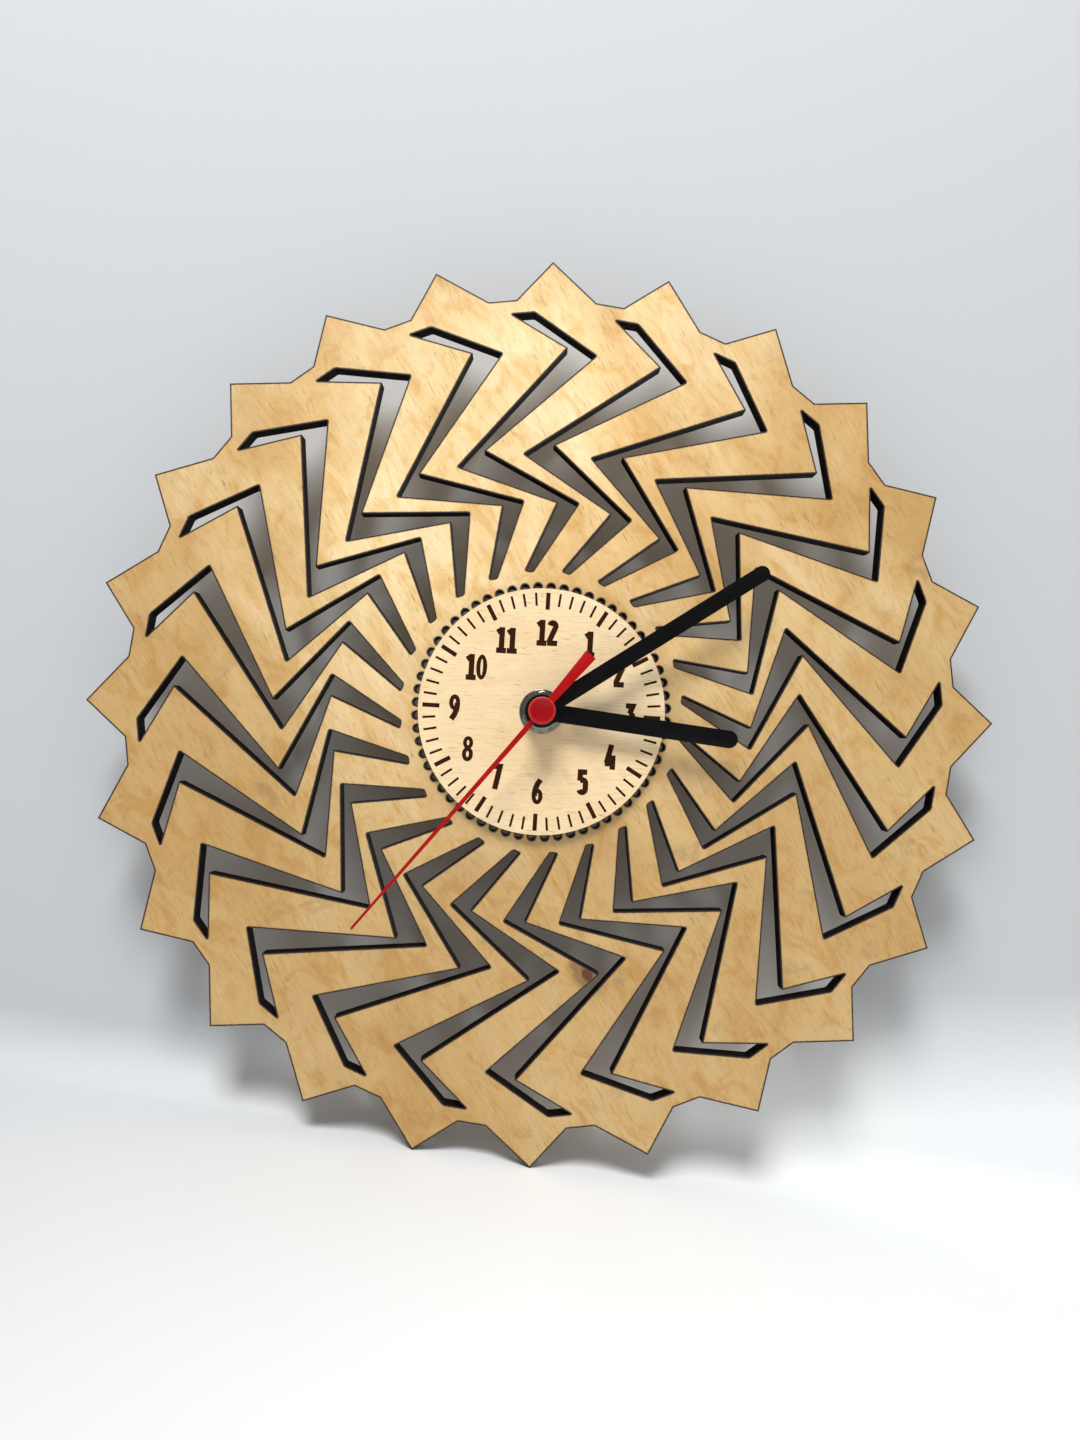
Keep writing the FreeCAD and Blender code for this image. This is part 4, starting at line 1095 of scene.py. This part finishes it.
knob_plastic = paint("grey_knob", (122, 124, 126), (134, 136, 138), 0.45, 0.1, texture=0.025)
knob_edge = 0.3 * MM
dish_radius = 4.3 * MM
dish_depth = 0.45 * MM
knob_bottom = heights(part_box("setting_knob"))[0]
knob = welded_copy("setting_knob", "ridged_knob")
round_edges(knob, sharp_at("y", -knob_bottom), knob_edge)
dish = disc(dish_radius, knob_bottom - overrun, overrun + dish_depth,
            [value * MM for value in knob_place])
combine(knob, stand_up(dish, "dish"), "DIFFERENCE")
put_on(knob, knob_plastic)
smooth(knob, 35)
in_place_of(knob, "setting_knob", "setting_group")

# %% [markdown]
# The cell is a rolled steel can in a printed sleeve. The sleeve curls over both rims, so each
# end gets a narrow lip and a bare steel face a little lower. Its colours are bands along the
# cell, with worn scuffs over them, and its button is plain steel.

# %% Roll the battery
cell_length = 50.5
cell_radius = 7.0 * MM
cell_rim = 0.45 * MM
lip_width = 0.7 * MM
lip_height = 0.2 * MM

steel = bright_metal("rolled_steel", (205, 204, 200), (160, 158, 152), 0.2)
mix = Recipe("printed_sleeve")
dark, silver, copper = tone(28, 30, 34), tone(214, 212, 206), tone(172, 96, 44)
from_end = mix.sum("ADD", mix.along(mix.space(), "X"), cell_length / 2)
bands = mix.ramp(mix.sum("DIVIDE", from_end, cell_length), (0.0, dark), (0.715, dark),
                 (0.72, silver), (0.735, silver), (0.74, copper))
scuffs = mix.noise(mix.space(0, (0.2, 1, 1)), 1.1, detail=4, rough=0.7)
bands = mix.blend(mix.ramp(scuffs, (0.6, 0), (0.74, 0.5)), bands, tone(120, 118, 112))
sleeve = mix.finish(bands, mix.ramp(scuffs, (0.3, 0.2), (0.7, 0.4)), mix.bump(scuffs, 0.02 * MM),
                    coat=0.5)


def lying_cell(node, name, radius=None):
    """A round part along the battery bay, with its rims rounded. The box can give its radius."""
    low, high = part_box(node)
    radius = radius or (high.z - low.z) / 2
    hold()
    bpy.ops.mesh.primitive_cylinder_add(vertices=96, radius=radius, depth=high.x - low.x,
                                        location=(low + high) / 2, rotation=(0, math.pi / 2, 0))
    cell = settle(bpy.context.object, name)
    round_edges(cell, sharp_at("x", low.x, high.x), cell_rim)
    return cell, low.x, high.x


can, left_end, right_end = lying_cell("battery_can", "battery_sleeve", cell_radius)
put_on(can, sleeve, steel)
for end, inwards in ((left_end, lip_height), (right_end, -lip_height)):
    open_mesh(can)
    pick(can, "FACE", lambda face: abs(face.calc_center_median().x - end) < near)
    sink_picked(lip_width, (inwards, 0, 0))
    can.active_material_index = 1
    bpy.ops.object.material_slot_assign()
    close_mesh()
smooth(can, 35)
in_place_of(can, "battery_can", "battery_group")

button = lying_cell("battery_cap", "battery_button")[0]
put_on(button, steel)
smooth(button, 35)
in_place_of(button, "battery_cap", "battery_group")

# %% [markdown]
# The motor's coil is the one inner piece whose look is all repetition: turns of enamelled wire,
# side by side on the bobbin. One small ring of points is swept along a helix, as the thread
# was, round a plain core. The coil's length says how many turns there are.

# %% Wind the coil
wire = paint("enamelled_copper", (176, 92, 44), (150, 70, 32), 0.22, 0.6, texture=0, metal=0.8)
coil_low, coil_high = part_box("coil_winding")
coil_radius = (coil_high.y - coil_low.y) / 2
coil_length = coil_high.z - coil_low.z
wire_radius = 0.12 * MM
bobbin_radius = 1.9 * MM
turns = int((coil_length - 4 * wire_radius) / (2 * wire_radius))
hold()
bpy.ops.mesh.primitive_circle_add(vertices=8, radius=wire_radius, rotation=(math.pi / 2, 0, 0),
                                  location=(coil_radius - wire_radius, 0, 2 * wire_radius))
winding = settle(bpy.context.object, "winding")
wind(winding, 2 * wire_radius, turns, 24)
core = disc(coil_radius - 1.4 * wire_radius, 0, coil_length, sides=48)
bore(core, bobbin_radius, 0, coil_length, 48)
winding = joined([core, winding])
winding.location = ((coil_low.x + coil_high.x) / 2, (coil_low.y + coil_high.y) / 2, coil_low.z)
settle(winding, "wound_coil")
put_on(winding, wire)
smooth(winding, 50)
print("wound", turns, "turns")
in_place_of(winding, "coil_winding", "clock_body")

# %% [markdown]
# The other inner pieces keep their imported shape: wheels, arbors, plates and contacts are exact
# there already. Each gets a finish with some life in it: cloudy moulded plastic, metal with fine
# rings, a circuit board with tinned pads.

# %% Finish the pieces that keep their shape
mix = Recipe("circuit_board")
islands = mix.noise(mix.space(), 1.4, detail=1)
pads = mix.add("ShaderNodeTexVoronoi", {"Vector": mix.space(), "Scale": 0.55})
green = mix.blend(mix.ramp(islands, (0.48, 0), (0.5, 1)), tone(20, 92, 52), tone(34, 122, 66))
pad_mask = mix.ramp(pads.outputs["Distance"], (0.22, 1), (0.25, 0))
green = mix.blend(pad_mask, green, tone(196, 196, 190))
board = mix.finish(green, 0.35, mix.bump(islands, 0.02 * MM), coat=0.3)

finishes = {
    paint("black_lid", (26, 26, 28), (32, 32, 34), 0.5, 0.05, texture=0.035): ("front_cover",),
    paint("rubber", (18, 18, 18), (30, 29, 28), 0.8, 0.0, texture=0.05): ("rubber_gasket",),
    paint("white_wheels", (232, 230, 222), (222, 219, 208), 0.38, 0.1):
        ("rotor_pinion", "intermediate_wheel", "third_wheel", "minute_work_wheel",
         "setting_arbor"),
    paint("blue_wheels", (54, 104, 168), (46, 90, 150), 0.38, 0.1):
        ("second_wheel", "hour_wheel"),
    paint("yellow_wheels", (226, 190, 72), (214, 174, 58), 0.38, 0.1): ("centre_wheel",),
    paint("natural_frame", (214, 208, 190), (202, 194, 172), 0.42, 0.05): ("middle_plate",),
    paint("bobbin", (226, 222, 208), (212, 206, 190), 0.4, 0.05): ("coil_bobbin",),
    paint("sintered_magnet", (58, 56, 56), (80, 77, 74), 0.55, 0.0, texture=0.04):
        ("rotor_magnet",),
    paint("dark_resin", (22, 21, 22), (32, 30, 32), 0.3, 0.3): ("chip_cover",),
    bright_metal("pressed_iron", (150, 148, 144), (118, 114, 108), 0.3): ("stator", "coil_core"),
    bright_metal("sprung_steel", (212, 206, 192), (174, 166, 150), 0.2):
        ("positive_contact", "negative_contact"),
    bright_metal("drawn_can", (200, 200, 202), (168, 168, 170), 0.18): ("quartz_crystal",),
    brass: ("minute_arbor",),
    board: ("circuit_board",),
}
for finish, names in finishes.items():
    for name in names:
        for place in nodes[name].material_slots:
            place.material = finish
    print(finish.name, "on", ", ".join(names))

# %% [markdown]
# The clock was photographed on a sheet of pale paper that runs along the table and sweeps up
# behind it, so floor and backdrop meet in a soft bend. The sheet is one plane: its back edge is
# spun through a quarter turn and then extruded upwards. The clock stands on two of its teeth,
# and the sheet is tilted to pass under both. The paper is there only for eyes in front of it:
# from behind or below it is clear and it lets light pass, so the back of the clock can be
# looked at too.

# %% Lay the paper sweep
left_tip, right_tip = [on_dial(tip_radius, math.radians(turn)) for turn in (193.1, 178.1)]
floor_tilt = math.atan2(left_tip.y - right_tip.y, right_tip.x - left_tip.x)
paper_size = 6.0
bend_start = -15 * MM
bend_radius = 18 * MM

hold()
bpy.ops.mesh.primitive_plane_add(size=paper_size, location=(0, bend_start - paper_size / 2, 0))
paper = settle(bpy.context.object, "paper_sweep")
open_mesh(paper, "EDGE")
pick(paper, "EDGE", lambda edge: all(vert.co.y > bend_start - MM for vert in edge.verts))
bpy.ops.mesh.spin(steps=16, angle=-math.pi / 2, center=(0, bend_start, bend_radius), axis=(1, 0, 0))
pick(paper, "EDGE", lambda edge: all(vert.co.z > bend_radius - 0.1 * MM for vert in edge.verts))
bpy.ops.mesh.extrude_edges_move(TRANSFORM_OT_translate={"value": (0, 0, paper_size / 2)})
bpy.ops.mesh.select_all(action="SELECT")
bpy.ops.mesh.normals_make_consistent(inside=False)
close_mesh()
if paper.data.polygons[0].normal.z < 0:
    open_mesh(paper, "FACE", "SELECT")
    bpy.ops.mesh.flip_normals()
    close_mesh()
smooth(paper, 40)
paper.location = (right_tip.x, 0, right_tip.y)
paper.rotation_euler = (0, floor_tilt, 0)
settle(paper, "paper_sweep")

mix = Recipe("paper")
# painted shade: the paper is paler on the floor and darker up the bend and the backdrop, as less of
# the lamp's light reaches the upright part
height = mix.along(mix.space(math.degrees(-floor_tilt)), "Z")
rise = mix.sum("DIVIDE", mix.sum("ADD", height, 150), 45)
mix.finish(mix.ramp(rise, (0.0, tone(240, 242, 243)), (1.0, tone(194, 197, 200))), 0.95)
behind = mix.add("ShaderNodeNewGeometry").outputs["Backfacing"]
shadow = mix.add("ShaderNodeLightPath").outputs["Is Shadow Ray"]
front = mix.sum("SUBTRACT", 1.0, mix.sum("MAXIMUM", behind, shadow))
clear = mix.add("ShaderNodeBsdfTransparent").outputs[0]
shown = mix.add("ShaderNodeMixShader", {0: front, 1: clear, 2: mix.shader.outputs[0]}).outputs[0]
mix.feed(mix.tree.nodes["Material Output"], {"Surface": shown})
put_on(paper, mix.material)
paper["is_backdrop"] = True
print("paper tilted", round(math.degrees(floor_tilt), 2), "degrees under two teeth")

# %% [markdown]
# The light is a broad soft lamp above and in front, a little to the left. It hangs near, so
# the top of the clock is brighter than its foot, and its light falls off to the sides as well.
# A weak lamp behind serves views of the back. An even pale sky fills the shadows, and the eye
# sees it in a plain pale tone of its own.

# %% Light it softly
lamp_width = 0.5


def hang_lamp(name, place, power):
    """A round soft lamp that looks at the middle of the dial."""
    hold()
    bpy.ops.object.light_add(type="AREA", location=place)
    lamp = bpy.context.object
    lamp.name = name
    lamp.data.shape = "DISK"
    lamp.data.size = lamp_width
    lamp.data.energy = power
    lamp.rotation_mode = "QUATERNION"
    lamp.rotation_quaternion = (-Vector(place)).to_track_quat("-Z", "Y")


hang_lamp("soft_lamp", (-0.16, -0.72, 0.98), 14.6)
hang_lamp("back_lamp", (0.3, 0.9, 0.12), 1.4)

sky = bpy.data.worlds.new("sky")
sky.use_nodes = True
bpy.context.scene.world = sky
tree = sky.node_tree
glow = tree.nodes["Background"]
glow.inputs["Color"].default_value = (1, 1, 1, 1)
glow.inputs["Strength"].default_value = 0.36
rays = tree.nodes.new("ShaderNodeLightPath")
pale = tree.nodes.new("ShaderNodeBackground")
pale.inputs["Color"].default_value = tone(225, 225, 225)
choice = tree.nodes.new("ShaderNodeMixShader")
tree.links.new(rays.outputs["Is Camera Ray"], choice.inputs[0])
tree.links.new(glow.outputs[0], choice.inputs[1])
tree.links.new(pale.outputs[0], choice.inputs[2])
tree.links.new(choice.outputs[0], tree.nodes["World Output"].inputs["Surface"])
print("two lamps and a sky of strength", round(glow.inputs["Strength"].default_value, 2))

# %% [markdown]
# The camera stands a forearm's length from the dial, a little left of and below its middle,
# and is rolled so that twelve leans to the right. A short lens that near gives the clock the
# gentle spread of a phone picture: the walls of the outer slots show more than the inner ones.

# %% Stand the camera where the photographer stood
camera_distance = 341 * MM
camera_foot = Vector((-3.9 * MM, -plate_top, -8.5 * MM))
camera_aim = Vector((-0.3 * MM, -plate_top, -2.75 * MM))
camera_roll = math.radians(3.4)
focal_pixels = 1031
long_side_pixels = 1440
sensor_width = 36

camera_data = bpy.data.cameras.new("camera")
camera_data.type = "PERSP"
camera_data.sensor_width = sensor_width
camera_data.lens = focal_pixels / long_side_pixels * sensor_width
camera_data.clip_start = 0.01
camera = bpy.data.objects.new("camera", camera_data)
bpy.context.scene.collection.objects.link(camera)
camera.location = camera_foot - Vector((0, camera_distance, 0))
look = (camera_aim - camera.location).normalized()
up = Vector((-math.sin(camera_roll), 0, math.cos(camera_roll)))
side = look.cross(up).normalized()
up = side.cross(look)
camera.rotation_mode = "QUATERNION"
camera.rotation_quaternion = Matrix((side, up, -look)).transposed().to_quaternion()
bpy.context.scene.camera = camera
bpy.context.scene.view_settings.view_transform = "Standard"
print("the camera stands", round(camera_distance / MM), "mm in front of the plate")

# %% [markdown]
# The dressed clock is to lie inside the imported one's box, so both are measured and whether
# it does is printed.

# %% Check the size and finish
bpy.context.view_layer.update()
scene_low, scene_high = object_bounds()
inside = all(scene_low[i] > cad_low[i] - MM and scene_high[i] < cad_high[i] + MM for i in range(3))
print("the scene is inside the packed box:", inside)
